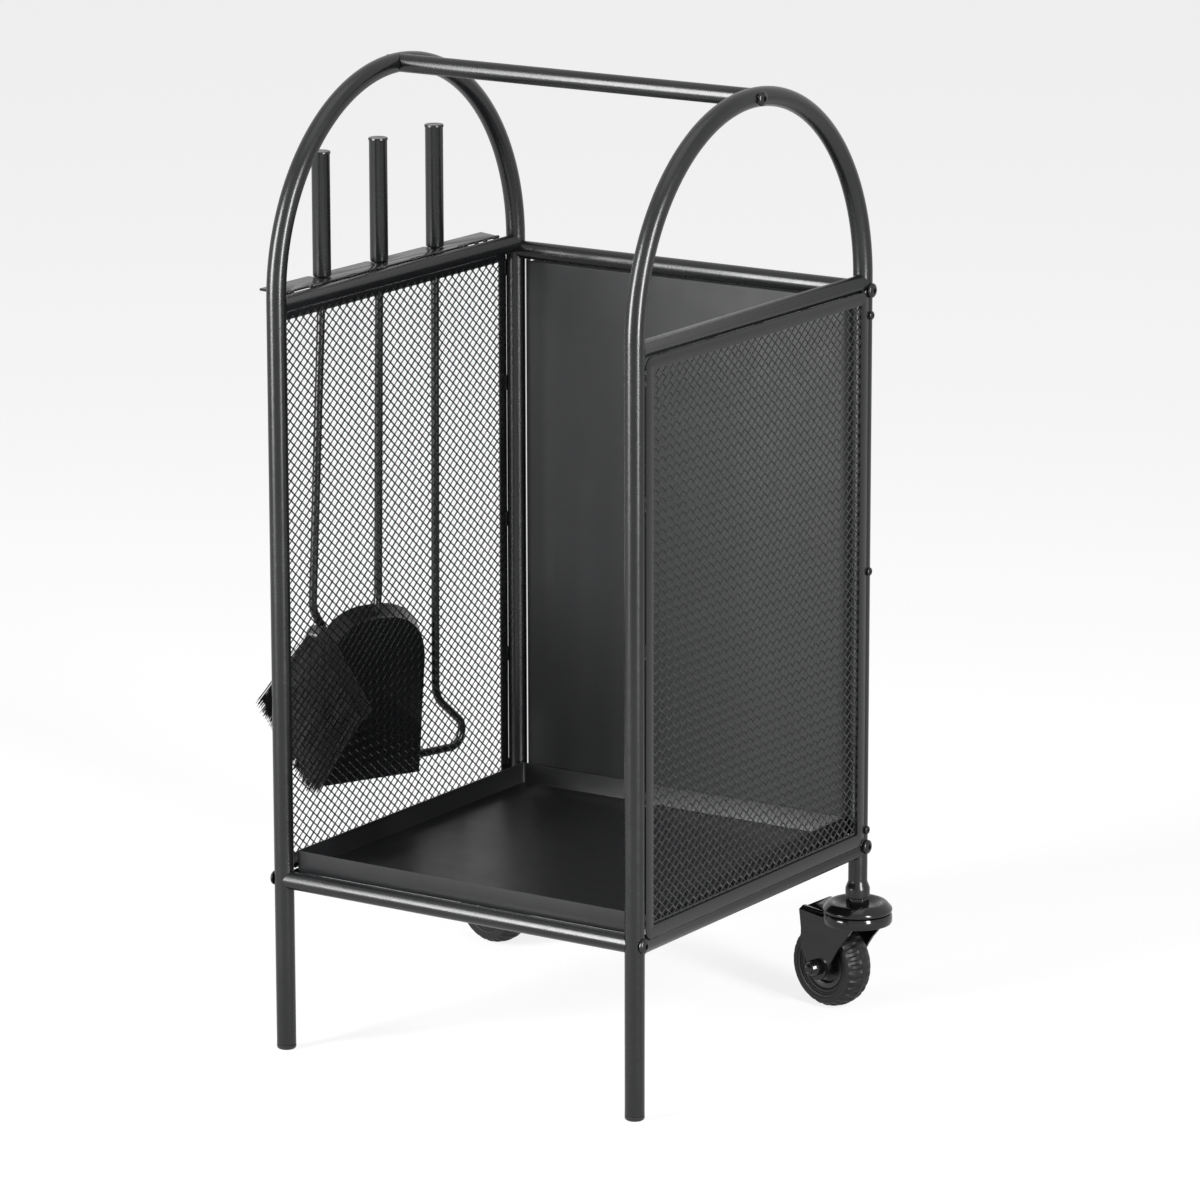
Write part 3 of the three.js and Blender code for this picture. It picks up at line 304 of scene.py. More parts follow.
def turned(profile, at, axis="Z", sides=48):
    """Spins a profile of (radius, height) points about an axis through `at`."""
    bm = bmesh.new()
    verts = [bm.verts.new((radius, 0, height)) for radius, height in profile]
    edges = [bm.edges.new(pair) for pair in zip(verts, verts[1:])]
    bmesh.ops.spin(
        bm, geom=verts + edges, cent=(0, 0, 0), axis=(0, 0, 1), angle=math.tau, steps=sides,
        use_merge=True,
    )
    bmesh.ops.remove_doubles(bm, verts=bm.verts[:], dist=1e-6)
    turn = {
        "X": Matrix.Rotation(math.pi / 2, 4, "Y"),
        "Y": Matrix.Rotation(-math.pi / 2, 4, "X"),
        "Z": Matrix.Identity(4),
    }[axis]
    bmesh.ops.transform(bm, matrix=Matrix.Translation(at) @ turn, verts=bm.verts[:])
    return bm


def mm(*pairs):
    """A profile given in millimetres, as a maker's drawing has it."""
    return [(radius / 1000, height / 1000) for radius, height in pairs]


for side, way in SIDES.items():
    cap = turned(mm(
        (0, 0), (5.6, 0), (6.8, 0.25), (7.6, 0.9), (8, 1.9), (8, 3.7), (7.7, 4), (6.6, 4), (6.6, 18),
        (5.4, 19), (0, 19),
    ), (way * LEG, -LEG, 0))
    piece(f"{side}_foot_plug", cap, "cart", [f"{side}_foot_cap"], black_nylon)

# ------------------------------------------------------------------------------ rails
# Straight tubes saddled to the legs. Side rails are welded in; the cross rails and the handle bar
# are bolted, so a thin dark line shows where each one meets its hoop.
SEAT = 0.0003
SIDE_RAIL, CROSS_RAIL = 0.007, 0.0075
SIDE_HIGH, SIDE_LOW = 0.618, 0.141
CROSS_HIGH, CROSS_LOW = 0.6125, 0.144
HANDLE_Z = 0.792
BEAD, BEAD_FOOT, BEAD_NOSE = 0.0009, 0.0012, 0.0014  # how proud a weld stands, and its two slopes
BEAD_RIPPLE, RIPPLES = 0.00035, 7


def rail(axis, at, radius, across, bead=0.0):
    """A tube hollowed at both ends to fit round a hoop tube, with a weld bead where it has one.

    `across` is the axis that lies square to both tubes, and where the hoop tube stands on it.
    """
    bm = bmesh.new()
    along = Vector((axis == 0, axis == 1, 0))
    foot, nose = radius + bead, radius + 0.8 * bead
    first = ring(bm, Vector(at) - along * LEG, along, foot, 40)
    rim = first
    for length, widen in (
        (BEAD_FOOT, nose / foot),
        (BEAD_NOSE, radius / nose),
        (2 * (LEG - BEAD_FOOT - BEAD_NOSE), 1),
        (BEAD_NOSE, nose / radius),
        (BEAD_FOOT, foot / nose),
    ):
        rim = push(bm, rim, along * length, widen)
    close(bm, rim)
    close(bm, first)
    for vert in bm.verts:
        from_end = LEG - abs(vert.co[axis])
        if from_end < 0.003:
            off = vert.co[across[0]] - across[1]
            reach = LEG - math.sqrt(max((HOOP_TUBE + SEAT) ** 2 - off**2, 0)) - from_end
            if bead and from_end > 0.0002:
                turn = math.atan2(off, vert.co.z - at[2])
                reach += BEAD_RIPPLE * math.sin(RIPPLES * turn + 40 * at[2])
            vert.co[axis] = math.copysign(reach, vert.co[axis])
    return bm


CROSS_RAILS = {
    "rear_upper": (LEG, CROSS_HIGH),
    "rear_lower": (LEG, CROSS_LOW),
    "front_lower": (-LEG, CROSS_LOW),
}
for name, (y, z) in CROSS_RAILS.items():
    tube = rail(0, (0, y, z), CROSS_RAIL, (1, y))
    piece(f"{name}_rail_tube", tube, "cart", [f"{name}_rail"], satin_coat, 50)
bar = rail(0, (0, 0, HANDLE_Z), CROSS_RAIL, (2, HANDLE_Z))
piece("push_handle_tube", bar, "cart", ["handle_tube"], satin_coat, 50)
for side, way in SIDES.items():
    for level, z in (("upper", SIDE_HIGH), ("lower", SIDE_LOW)):
        tube = rail(1, (way * LEG, 0, z), SIDE_RAIL, (0, way * LEG), BEAD)
        node = f"{side}_{level}_rail"
        piece(f"{side}_{level}_side_tube", tube, "cart", [node], satin_coat, 50)

# ------------------------------------------------------------------------------ mesh sides
# A frame of flat strip with rounded corners, laid over the outside of the legs and welded at its
# corners. Expanded metal with small diamonds is spot-welded behind it.
STRIP_X = 0.1769
STRIP, STRIP_WIDE = 0.0013, 0.0104
STRIP_Y = 0.1658
STRIP_LOW, STRIP_HIGH = 0.1471, 0.6127
DIAMOND_Y, DIAMOND_Z = 0.010, 0.0082
STRAND_WIDE, STRAND_THICK, STRAND_TILT = 0.0013, 0.0006, 0.2
NET_COLUMNS, NET_ROWS = 32, 110
SHADE_SHEET_Z, SHADE_SHEET_LONG, SHADE_SHEET_HIGH = 0.0080, 0.318, 0.0094  # a dark sheet along the net's lower edge, put in as painted shade


def moved_verts(items):
    """The corners among what an extrusion gives back."""
    return [item for item in items if isinstance(item, bmesh.types.BMVert)]


def outline_plate(points, thickness, way_out):
    """A flat plate from an outline, thickened along `way_out`."""
    bm = bmesh.new()
    face = bm.faces.new([bm.verts.new(point) for point in points])
    grown = bmesh.ops.extrude_face_region(bm, geom=[face], use_keep_orig=True)["geom"]
    bmesh.ops.translate(bm, verts=moved_verts(grown), vec=Vector(way_out) * thickness)
    return bm


def soften(bm, width, edges=None, angle=40, segments=2):
    """Breaks the sharp edges of a plate, as the powder does."""
    if edges is None:
        edges = [
            edge for edge in bm.edges
            if len(edge.link_faces) == 2 and edge.calc_face_angle(0) > math.radians(angle)
        ]
    bmesh.ops.bevel(
        bm, geom=edges, offset=width, offset_type="OFFSET", affect="EDGES", segments=segments,
        profile=0.5, material=-1, clamp_overlap=True,
    )


def corner_run(middle, radius, start, steps):
    """A quarter of a circle in a flat outline."""
    return [
        (middle[0] + radius * math.cos(start + step * math.pi / 2 / steps),
         middle[1] + radius * math.sin(start + step * math.pi / 2 / steps))
        for step in range(steps + 1)
    ]


def rounded_box(low, high, radius, steps=8):
    """The outline of a flat box with round corners."""
    spots = []
    for middle, start in (
        ((high[0] - radius, high[1] - radius), 0),
        ((low[0] + radius, high[1] - radius), math.pi / 2),
        ((low[0] + radius, low[1] + radius), math.pi),
        ((high[0] - radius, low[1] + radius), 1.5 * math.pi),
    ):
        spots += corner_run(middle, radius, start, steps)
    return spots


def strip_frame(x):
    bm = bmesh.new()
    outer = rounded_box((-STRIP_Y, STRIP_LOW), (STRIP_Y, STRIP_HIGH), 0.008)
    inner = rounded_box(
        (-STRIP_Y + STRIP_WIDE, STRIP_LOW + STRIP_WIDE), (STRIP_Y - STRIP_WIDE, STRIP_HIGH - STRIP_WIDE),
        0.001,
    )
    loops = []
    for spots in (outer, inner):
        verts = [bm.verts.new((x, y, z)) for y, z in spots]
        loops += [bm.edges.new((a, b)) for a, b in zip(verts, verts[1:] + verts[:1])]
    faces = bmesh.ops.bridge_loops(bm, edges=loops)["faces"]
    grown = bmesh.ops.extrude_face_region(bm, geom=faces, use_keep_orig=True)["geom"]
    bmesh.ops.translate(bm, verts=moved_verts(grown), vec=(math.copysign(STRIP, x), 0, 0))
    soften(bm, 0.0003)
    return bm


def expanded_metal(x):
    """Rows of zigzag strand, each joined to the next at its peaks, over a dark sheet along the lower
    edge that is painted shade.
    """
    bm = bmesh.new()
    tilt = Matrix.Rotation(STRAND_TILT, 4, "Y")
    start = bmesh.ops.create_grid(bm, x_segments=1, y_segments=1, size=0.5)["verts"]
    section = Matrix.Rotation(math.pi / 2, 4, "X") @ Matrix.Diagonal((STRAND_THICK, STRAND_WIDE, 1, 1))
    low = (STRIP_LOW + STRIP_HIGH) / 2 - NET_ROWS * DIAMOND_Z / 4
    place = Matrix.Translation((x, -NET_COLUMNS * DIAMOND_Y / 2, low)) @ tilt @ section
    bmesh.ops.transform(bm, matrix=place, verts=start)
    rim = bm.edges[:]
    for step in range(2 * NET_COLUMNS):
        climb = DIAMOND_Z / 2 if step % 2 == 0 else -DIAMOND_Z / 2
        rim = push(bm, rim, (0, DIAMOND_Y / 2, climb))
    close(bm, rim)
    strand = bm.verts[:] + bm.edges[:] + bm.faces[:]
    for vert in moved_verts(bmesh.ops.duplicate(bm, geom=strand)["geom"]):
        vert.co.z = 2 * low + DIAMOND_Z - vert.co.z
    pair = bpy.data.meshes.new("pair")
    bm.to_mesh(pair)
    for row in range(1, NET_ROWS // 2):
        pair.transform(Matrix.Translation((0, 0, DIAMOND_Z)))
        bm.from_mesh(pair)
    bpy.data.meshes.remove(pair)
    # A thin dark sheet along the lower edge, put in as painted shade: it hides the tray behind the net.
    shade_sheet = bmesh.ops.create_cube(bm, size=1)["verts"]
    size = Matrix.Diagonal((STRAND_THICK, SHADE_SHEET_LONG, SHADE_SHEET_HIGH, 1))
    place = Matrix.Translation((x, 0, STRIP_LOW + SHADE_SHEET_Z)) @ size
    bmesh.ops.transform(bm, matrix=place, verts=shade_sheet)
    return bm


for side, way in SIDES.items():
    strip = strip_frame(way * STRIP_X)
    piece(f"{side}_strip_frame", strip, "cart", [f"{side}_mesh_frame"], satin_coat)
    net = expanded_metal(way * (STRIP_X - STRAND_THICK))
    piece(f"{side}_expanded_metal", net, "cart", [f"{side}_mesh"], satin_coat, 30)

# ------------------------------------------------------------------------------ weld beads
# Short beads tie each strip to its leg and its rails: ten on the legs and five along each rail, each
# a row of overlapping drops.
BEAD_HALF, BEAD_DROPS = 0.006, 7


def gather(bm, part):
    """Adds a finished part to a bigger mesh."""
    mesh = bpy.data.meshes.new("part")
    part.to_mesh(mesh)
    part.free()
    bm.from_mesh(mesh)
    bpy.data.meshes.remove(mesh)


def bead_line(bm, start, end, radius, count, flat=(1, 1, 1)):
    """A row of overlapping drops of weld along a line."""
    start, end = Vector(start), Vector(end)
    for i in range(count):
        drop = bmesh.new()
        grow = 1 + 0.12 * math.sin(5.1 * i + 3 * start.z)
        bmesh.ops.create_uvsphere(drop, u_segments=12, v_segments=8, radius=radius * grow)
        place = Matrix.Translation(start.lerp(end, (i + 0.5) / count)) @ Matrix.Diagonal((*flat, 1))
        bmesh.ops.transform(drop, matrix=place, verts=drop.verts[:])
        gather(bm, drop)


for side, way in SIDES.items():
    welds = bmesh.new()
    for y_way in (-1, 1):
        y = y_way * (STRIP_Y - 0.0008)
        for z in (0.163, 0.262, 0.380, 0.498, 0.597):
            start, end = (way * STRIP_X, y, z - BEAD_HALF), (way * STRIP_X, y, z + BEAD_HALF)
            bead_line(welds, start, end, 0.0014, BEAD_DROPS, (0.7, 0.9, 1))
    for z in (STRIP_LOW + 0.0003, STRIP_HIGH - 0.0006):
        for y in (-0.14, -0.07, 0, 0.07, 0.14):
            start, end = (way * STRIP_X, y - BEAD_HALF, z), (way * STRIP_X, y + BEAD_HALF, z)
            bead_line(welds, start, end, 0.0013, BEAD_DROPS, (0.7, 1, 0.9))
    piece(f"{side}_frame_welds", welds, "cart", [], satin_coat)

# ------------------------------------------------------------------------------ back panel and tray
# Folded sheet. The back closes the gap between the rear legs and wears a matt coat whose black is
# lifted as painted light; the tray is a shallow pan with welded corners that drops on to the
# shoulders of the front and rear rails.
SHEET = 0.001
BACK_X, BACK_Y, BACK_LOW, BACK_HIGH = 0.1617, 0.1665, 0.1521, 0.6044
BACK_FOLD, FOLD_ROUND, FOLD_STEPS = 0.012, 0.0095, 8
TRAY_X, TRAY_Y, TRAY_LOW, TRAY_RIM = 0.161, 0.165, 0.1499, 0.168
# The back's matt black is painted lighter than the tubes' coat: painted light standing in for light on
# the panel.
lifted_sheet_coat = finish_of(
    "sheet_powder_coat_painted_light", (0.017, 0.0175, 0.0185), (0.021, 0.0215, 0.0225), (0.52, 0.60), 1700,
    0.00006, 3.0, specular=0.3,
)
tray_coat = finish_of(
    "tray_powder_coat", (0.007, 0.0073, 0.0079), (0.010, 0.0103, 0.011), (0.30, 0.36), 1700,
    0.00004, 3.0,
)


def thicken(bm, inside):
    """Thickens a folded sheet, with the outside of its biggest face turned away from `inside`."""
    bmesh.ops.recalc_face_normals(bm, faces=bm.faces[:])
    biggest = max(bm.faces, key=lambda face: face.calc_area())
    if biggest.normal.dot(Vector(inside)) > 0:
        bmesh.ops.reverse_faces(bm, faces=bm.faces[:])
    bmesh.ops.solidify(bm, geom=bm.faces[:], thickness=SHEET)


panel = bmesh.new()
section = [(BACK_X, BACK_Y + BACK_FOLD)]
for x, y in corner_run((BACK_X - FOLD_ROUND, BACK_Y + FOLD_ROUND), FOLD_ROUND, 0, FOLD_STEPS):
    section.append((x, 2 * (BACK_Y + FOLD_ROUND) - y))
section += [(-x, y) for x, y in reversed(section)]
low = [panel.verts.new((x, y, BACK_LOW)) for x, y in section]
foot = [panel.edges.new(pair) for pair in zip(low, low[1:])]
head = push(panel, foot, (0, 0, BACK_HIGH - BACK_LOW))
straight = [edge for edge in foot + head if edge.calc_length() > BACK_X]
for edge in straight:
    push(panel, [edge], (0, BACK_FOLD, 0))
soften(panel, 0.0016, straight, segments=4)
thicken(panel, (0, 1, 0))
piece("back_sheet", panel, "cart", ["rear_panel"], lifted_sheet_coat)

tray = bmesh.new()
spots = rounded_box((-TRAY_X, -TRAY_Y), (TRAY_X, TRAY_Y), 0.003, 5)
base = tray.faces.new([tray.verts.new((x, y, TRAY_LOW)) for x, y in spots])
edge_ring = base.edges[:]
push(tray, edge_ring, (0, 0, TRAY_RIM - TRAY_LOW))
soften(tray, 0.0012, edge_ring, segments=3)
thicken(tray, (0, 0, 1))
piece("tray_pan", tray, "tray", ["tray"], tray_coat)

# ------------------------------------------------------------------------------ tool rack
# A strip of 2 mm plate welded to the left upper rail, with three open slots for the tools and two
# light slits where the plate stands off the rail.
RACK_TOP, RACK_THICK, RACK_IN = 0.626, 0.002, 0.1739
RACK_FRONT, RACK_REAR = -0.149, 0.158
TOOL_X = -0.190
TOOL_Y = {"brush": -0.080, "shovel": 0.0, "poker": 0.080}
SLOT, SLOT_LEAD = 0.004, 0.0015  # half a slot's width, and the slope at its mouth
SLIT = 0.0017


def rack_edge(y):
    """The outer edge closes in on the rail a little towards the rear."""
    return -(0.202 - 0.005 * (y - RACK_FRONT) / (RACK_REAR - RACK_FRONT))


outline = [(rack_edge(RACK_FRONT), RACK_FRONT), (-RACK_IN, RACK_FRONT - 0.004)]
for low, high in ((-0.140, -0.118), (0.1055, 0.1435)):
    outline += [(-RACK_IN, low), (-RACK_IN - SLIT, low), (-RACK_IN - SLIT, high), (-RACK_IN, high)]
outline += [(-RACK_IN, RACK_REAR - 0.008), (rack_edge(RACK_REAR), RACK_REAR)]
for y in sorted(TOOL_Y.values(), reverse=True):
    mouth = rack_edge(y) + SLOT_LEAD
    wide = SLOT + SLOT_LEAD
    outline += [(rack_edge(y + wide), y + wide), (mouth, y + SLOT)]
    for step in range(13):
        angle = math.pi / 2 - step * math.pi / 12
        outline.append((TOOL_X + SLOT * math.cos(angle), y + SLOT * math.sin(angle)))
    outline += [(mouth, y - SLOT), (rack_edge(y - wide), y - wide)]
rack = outline_plate([(x, y, RACK_TOP - RACK_THICK) for x, y in outline], RACK_THICK, (0, 0, 1))
soften(rack, 0.00035)
piece("rack_plate", rack, "cart", ["tool_plate"], satin_coat)

rack_welds = bmesh.new()
for y, long in (
    (-0.149, 0.010), (-0.108, 0.014), (-0.060, 0.010), (-0.018, 0.012), (0.030, 0.012),
    (0.062, 0.010), (0.098, 0.012), (0.118, 0.004), (0.131, 0.004), (0.147, 0.007),
):
    x, z = -RACK_IN - 0.0004, RACK_TOP - 0.0007
    bead_line(rack_welds, (x, y - long / 2, z), (x, y + long / 2, z), 0.0013, 8)
piece("rack_weld_beads", rack_welds, "cart", [], satin_coat)

# ------------------------------------------------------------------------------ tool handles and rods
# Each tool has a grip of 15 mm tube with a thin pressed cap and a rod that runs down behind the
# mesh. The rods are bent cold, so every corner is an even curve.
GRIP_LOW, GRIP_LONG = 0.6263, 0.1025
ROD, ROD_BEND = 0.0034, 0.040
ROD_TOP = GRIP_LOW + 0.02


def bent_rod(corners, radius=ROD, sides=24, tip=None):
    """Runs a rod through (point, bend radius) corners: straight lengths are pushed, bends are spun."""
    bm = bmesh.new()
    points = [Vector(point) for point, _ in corners]
    first = (points[1] - points[0]).normalized()
    start = ring(bm, points[0], first, radius, sides)
    rim = push(bm, start, (0, 0, 0))
    here = points[0]
    for i in range(1, len(points)):
        bend = corners[i][1]
        inward = (points[i] - points[i - 1]).normalized()
        if bend and i + 1 < len(points):
            outward = (points[i + 1] - points[i]).normalized()
            turn = inward.angle(outward)
            back = bend * math.tan(turn / 2)
            before = points[i] - inward * back
            rim = push(bm, rim, before - here)
            axis = inward.cross(outward).normalized()
            centre = before + axis.cross(inward).normalized() * bend
            steps = max(3, int(turn / math.radians(6)))
            rim = swing(bm, rim, centre, axis, turn, steps)
            here = points[i] + outward * back
        else:
            rim = push(bm, rim, points[i] - here)
            here = points[i]
    along = (points[-1] - points[-2]).normalized()
    for length, widen in tip or ((radius * 0.25, 0.94), (radius * 0.2, 0.8), (radius * 0.08, 0.5)):
        rim = push(bm, rim, along * length, widen)
    close(bm, rim)
    bmesh.ops.remove_doubles(bm, verts=bm.verts[:], dist=1e-7)
    close(bm, [edge for edge in bm.edges if edge.is_boundary])
    return bm


for tool, y in TOOL_Y.items():
    top = GRIP_LONG * 1000
    grip = turned(mm(
        (0, 0.2), (3.7, 0.2), (6.6, 0), (7.3, 0.5), (7.5, 1.4), (7.5, top - 2.4), (7.55, top - 2.3),
        (7.9, top - 2.2), (8, top - 1.9), (8, top - 0.7), (7.8, top - 0.2), (7.3, top),
        (6.4, top - 0.1), (0, top - 0.1),
    ), (TOOL_X, y, GRIP_LOW))
    piece(f"{tool}_grip", grip, tool, [f"{tool}_handle"], satin_coat)

HEAD_TOP, HEAD_LOW = Vector((-0.097, 0.336)), Vector((-0.0306, 0.2483))
HEAD_WAY = (HEAD_LOW - HEAD_TOP).normalized()
HEAD_LONG = (HEAD_LOW - HEAD_TOP).length
HEAD_DOWN = Vector((HEAD_WAY.y, -HEAD_WAY.x))
ROD_IN_HEAD = -0.0085


def on_head(lengthwise, outward, x):
    """A point on the slanting brush head, from its top end and towards its bristles."""
    spot = HEAD_TOP + HEAD_WAY * lengthwise + HEAD_DOWN * outward
    return Vector((x, spot.x, spot.y))


brush_rod = bent_rod([
    ((TOOL_X, TOOL_Y["brush"], ROD_TOP), 0),
    ((TOOL_X, TOOL_Y["brush"], RACK_TOP), ROD_BEND),
    (on_head(-0.014, ROD_IN_HEAD, TOOL_X), 0.018),
    (on_head(HEAD_LONG + 0.0015, ROD_IN_HEAD, TOOL_X), 0),
])
piece("brush_bent_rod", brush_rod, "brush", ["brush_rod"], satin_coat, 50)

# ------------------------------------------------------------------------------ brush head
# A moulded black bar that holds the rod, with rows of stiff synthetic bristle that lean to one side
# and splay a little at their tips.
HEAD_X, HEAD_THICK = -0.182, 0.014
BRISTLE_ROWS, ROW_STRANDS = 9, 150
BRISTLE_LONG, BRISTLE_LEAN, BRISTLE_WIDE = 0.080, math.radians(6.6), 0.00033
bar_nylon = finish_of(
    "brush_bar_nylon", (0.022, 0.022, 0.023), (0.034, 0.034, 0.035), (0.3, 0.42), 900, 0.00008
)
bristle_black = finish_of(
    "bristle_black", (0.004, 0.004, 0.0045), (0.009, 0.009, 0.0095), (0.45, 0.65), 500, 0.00005
)

head = bmesh.new()
bar_spots = [
    (0.004, -0.0075), (HEAD_LONG - 0.002, -0.0075), (HEAD_LONG, 0), (HEAD_LONG - 0.002, 0.0075),
    (0, 0.0075), (-0.001, 0.0025), (0, -0.0035),
]
face = head.faces.new([head.verts.new(on_head(a, b, HEAD_X)) for a, b in bar_spots])
grown = bmesh.ops.extrude_face_region(head, geom=[face], use_keep_orig=True)["geom"]
bmesh.ops.translate(head, verts=moved_verts(grown), vec=(-HEAD_THICK, 0, 0))
soften(head, 0.0032, angle=15, segments=5)
piece("brush_bar", head, "brush", ["brush_head"], bar_nylon)


def scatter(seed):
    """An even spread of numbers from 0 to 1, the same on each run."""
    return (math.sin(seed * 12.9898) * 43758.5453) % 1.0


tuft = bmesh.new()
down = math.atan2(HEAD_DOWN.y, HEAD_DOWN.x)
for row in range(BRISTLE_ROWS):
    strands = bmesh.new()
    for column in range(ROW_STRANDS):
        seed = row * (ROW_STRANDS + 1) + column
        lengthwise = 0.002 + (HEAD_LONG - 0.005) * (column + scatter(seed)) / ROW_STRANDS
        depth = 0.0015 + 0.0125 * (row + scatter(seed + 7)) / BRISTLE_ROWS
        foot = on_head(lengthwise, 0.0060, HEAD_X - depth)
        lean = BRISTLE_LEAN * (1 - column / (ROW_STRANDS - 1))
        angle = down - lean + 0.05 * (scatter(seed + 3) - 0.5)
        way = Vector((0.05 * (scatter(seed + 5) - 0.5), math.cos(angle), math.sin(angle)))
        long = BRISTLE_LONG - 0.006 * scatter(seed + 11) ** 2 + 0.002 * scatter(seed + 13)
        start = ring(strands, foot, way, BRISTLE_WIDE, 3)
        rim = push(strands, start, way * long * 0.6)
        bow = Vector((0.0012 * (scatter(seed + 17) - 0.5), 0.002 * (scatter(seed + 19) - 0.5), -0.0006))
        rim = push(strands, rim, way * long * 0.4 + bow, 0.7)
        close(strands, rim)
    gather(tuft, strands)
piece("brush_tuft", tuft, "brush", ["brush_bristles"], bristle_black, 70)

# ------------------------------------------------------------------------------ shovel
# A pressed pan of thin sheet with an arched top. Its rim flares away from the cart along the arch
# and dies out towards the plain mouth. The rod is welded to the back of the rim.
PAN_HALF, PAN_STRAIGHT, PAN_ARCH, PAN_SHEET = 0.061, 0.090, 0.0466, 0.0012
PAN_FULLNESS = 2.6  # 2 would be a plain ellipse
PAN_DEEP, PAN_FLARE, RIM_START, RIM_FULL = 0.011, 0.010, 0.032, 0.080
PAN_TILT, PAN_YAW = math.radians(6.2), math.radians(5.3)
PAN_MOUTH = Vector((-0.1975, -0.007, 0.187))
pan_across = Vector((
    math.sin(PAN_YAW), math.cos(PAN_YAW) * math.cos(PAN_TILT), -math.sin(PAN_TILT)
)).normalized()
pan_out = Vector((0, math.sin(PAN_TILT), math.cos(PAN_TILT))).cross(pan_across).normalized()
pan_up = pan_across.cross(pan_out).normalized()


def on_pan(across, up, out):
    """A point on the leaning pan, from the middle of its mouth."""
    return PAN_MOUTH + pan_across * across + pan_up * up + pan_out * out


def rim_share(up):
    """How much of the full rim stands at a height over the mouth."""
    share = min(max((up - RIM_START) / (RIM_FULL - RIM_START), 0), 1)
    return share * share * (3 - 2 * share)


pan = bmesh.new()
outline = [(PAN_HALF, PAN_STRAIGHT * step / 10, 1, 0) for step in range(10)]
for step in range(49):
    angle = math.pi * step / 48
    wide, tall = abs(math.cos(angle)) ** (2 / PAN_FULLNESS), math.sin(angle) ** (2 / PAN_FULLNESS)
    wide = math.copysign(wide, math.cos(angle))
    normal = Vector((
        math.copysign(abs(wide) ** (PAN_FULLNESS - 1), wide) / PAN_HALF,
        tall ** (PAN_FULLNESS - 1) / PAN_ARCH,
    )).normalized()
    outline.append((PAN_HALF * wide, PAN_STRAIGHT + PAN_ARCH * tall, normal.x, normal.y))
outline += [(-PAN_HALF, PAN_STRAIGHT * (9 - step) / 10, -1, 0) for step in range(10)]
inset = PAN_SHEET / 2
verts = [
    pan.verts.new(on_pan(across - inset * nx, up - inset * ny, 0)) for across, up, nx, ny in outline
]
pan.faces.new(verts)
wall = [pan.edges.get((a, b)) for a, b in zip(verts, verts[1:])]
for level, bulge in ((0.3, 0.16), (1.0, 1.0)):
    grown = bmesh.ops.extrude_edge_only(pan, edges=wall)["geom"]
    for vert in moved_verts(grown):
        rel = vert.co - PAN_MOUTH
        spot = (rel.dot(pan_across), rel.dot(pan_up))
        across, up, nx, ny = min(outline, key=lambda item: math.dist(item[:2], spot))
        share = rim_share(up)
        flare = PAN_FLARE * share * bulge
        vert.co = on_pan(across + nx * flare, up + ny * flare, PAN_DEEP * share * level + 0.00002)
    wall = [item for item in grown if isinstance(item, bmesh.types.BMEdge)]
bmesh.ops.recalc_face_normals(pan, faces=pan.faces[:])
back_face = max(pan.faces, key=lambda item: item.calc_area())
if back_face.normal.dot(pan_out) > 0:
    bmesh.ops.reverse_faces(pan, faces=pan.faces[:])
bmesh.ops.solidify(pan, geom=pan.faces[:], thickness=PAN_SHEET)
piece("shovel_dish", pan, "shovel", ["shovel_pan"], satin_coat, 30)

join = on_pan(0.002, PAN_STRAIGHT + PAN_ARCH + PAN_FLARE * 0.5 + 0.014, PAN_DEEP * 0.55)
join_end = on_pan(0.001, PAN_STRAIGHT + PAN_ARCH + 0.0045, PAN_DEEP * 0.55)
shovel_rod = bent_rod([
    ((TOOL_X, TOOL_Y["shovel"], ROD_TOP), 0),
    ((TOOL_X, TOOL_Y["shovel"], RACK_TOP), ROD_BEND),
    (join, ROD_BEND),
    (join_end, 0),
])
piece("shovel_bent_rod", shovel_rod, "shovel", ["shovel_rod"], satin_coat, 50)

# ------------------------------------------------------------------------------ poker
# One rod, bent out to a round knee and back under itself to a hook with a drawn point.
poker_rod = bent_rod([
    ((TOOL_X, TOOL_Y["poker"], ROD_TOP), 0),
    ((TOOL_X, TOOL_Y["poker"], RACK_TOP), ROD_BEND),
    ((TOOL_X - 0.003, TOOL_Y["poker"], 0.2395), 0.024),
    ((TOOL_X - 0.006, 0.153, 0.1843), 0.013),
    ((TOOL_X - 0.008, 0.062, 0.193), 0),
], tip=((0.004, 0.85), (0.004, 0.78), (0.003, 0.6), (0.0012, 0.5)))
piece("poker_bent_rod", poker_rod, "poker", ["poker_rod"], satin_coat, 50)

# ------------------------------------------------------------------------------ bolts and screws
# Blackened button-head bolts with a hexagon socket hold the cross rails and the handle. Three small
# dome screws a side hold the back panel through the rear legs.
bolt_black = finish_of(
    "blackened_bolt", (0.020, 0.020, 0.021), (0.034, 0.034, 0.035), (0.22, 0.32), 1400, 0.00005,
    metallic=0.6,
)
BOLT, SCREW = (0.006, 0.0033, 0.004), (0.0035, 0.0021, 0.002)  # radius, height, hexagon socket
RIM_HIGH = 0.28  # the share of a head's height that is its upright rim


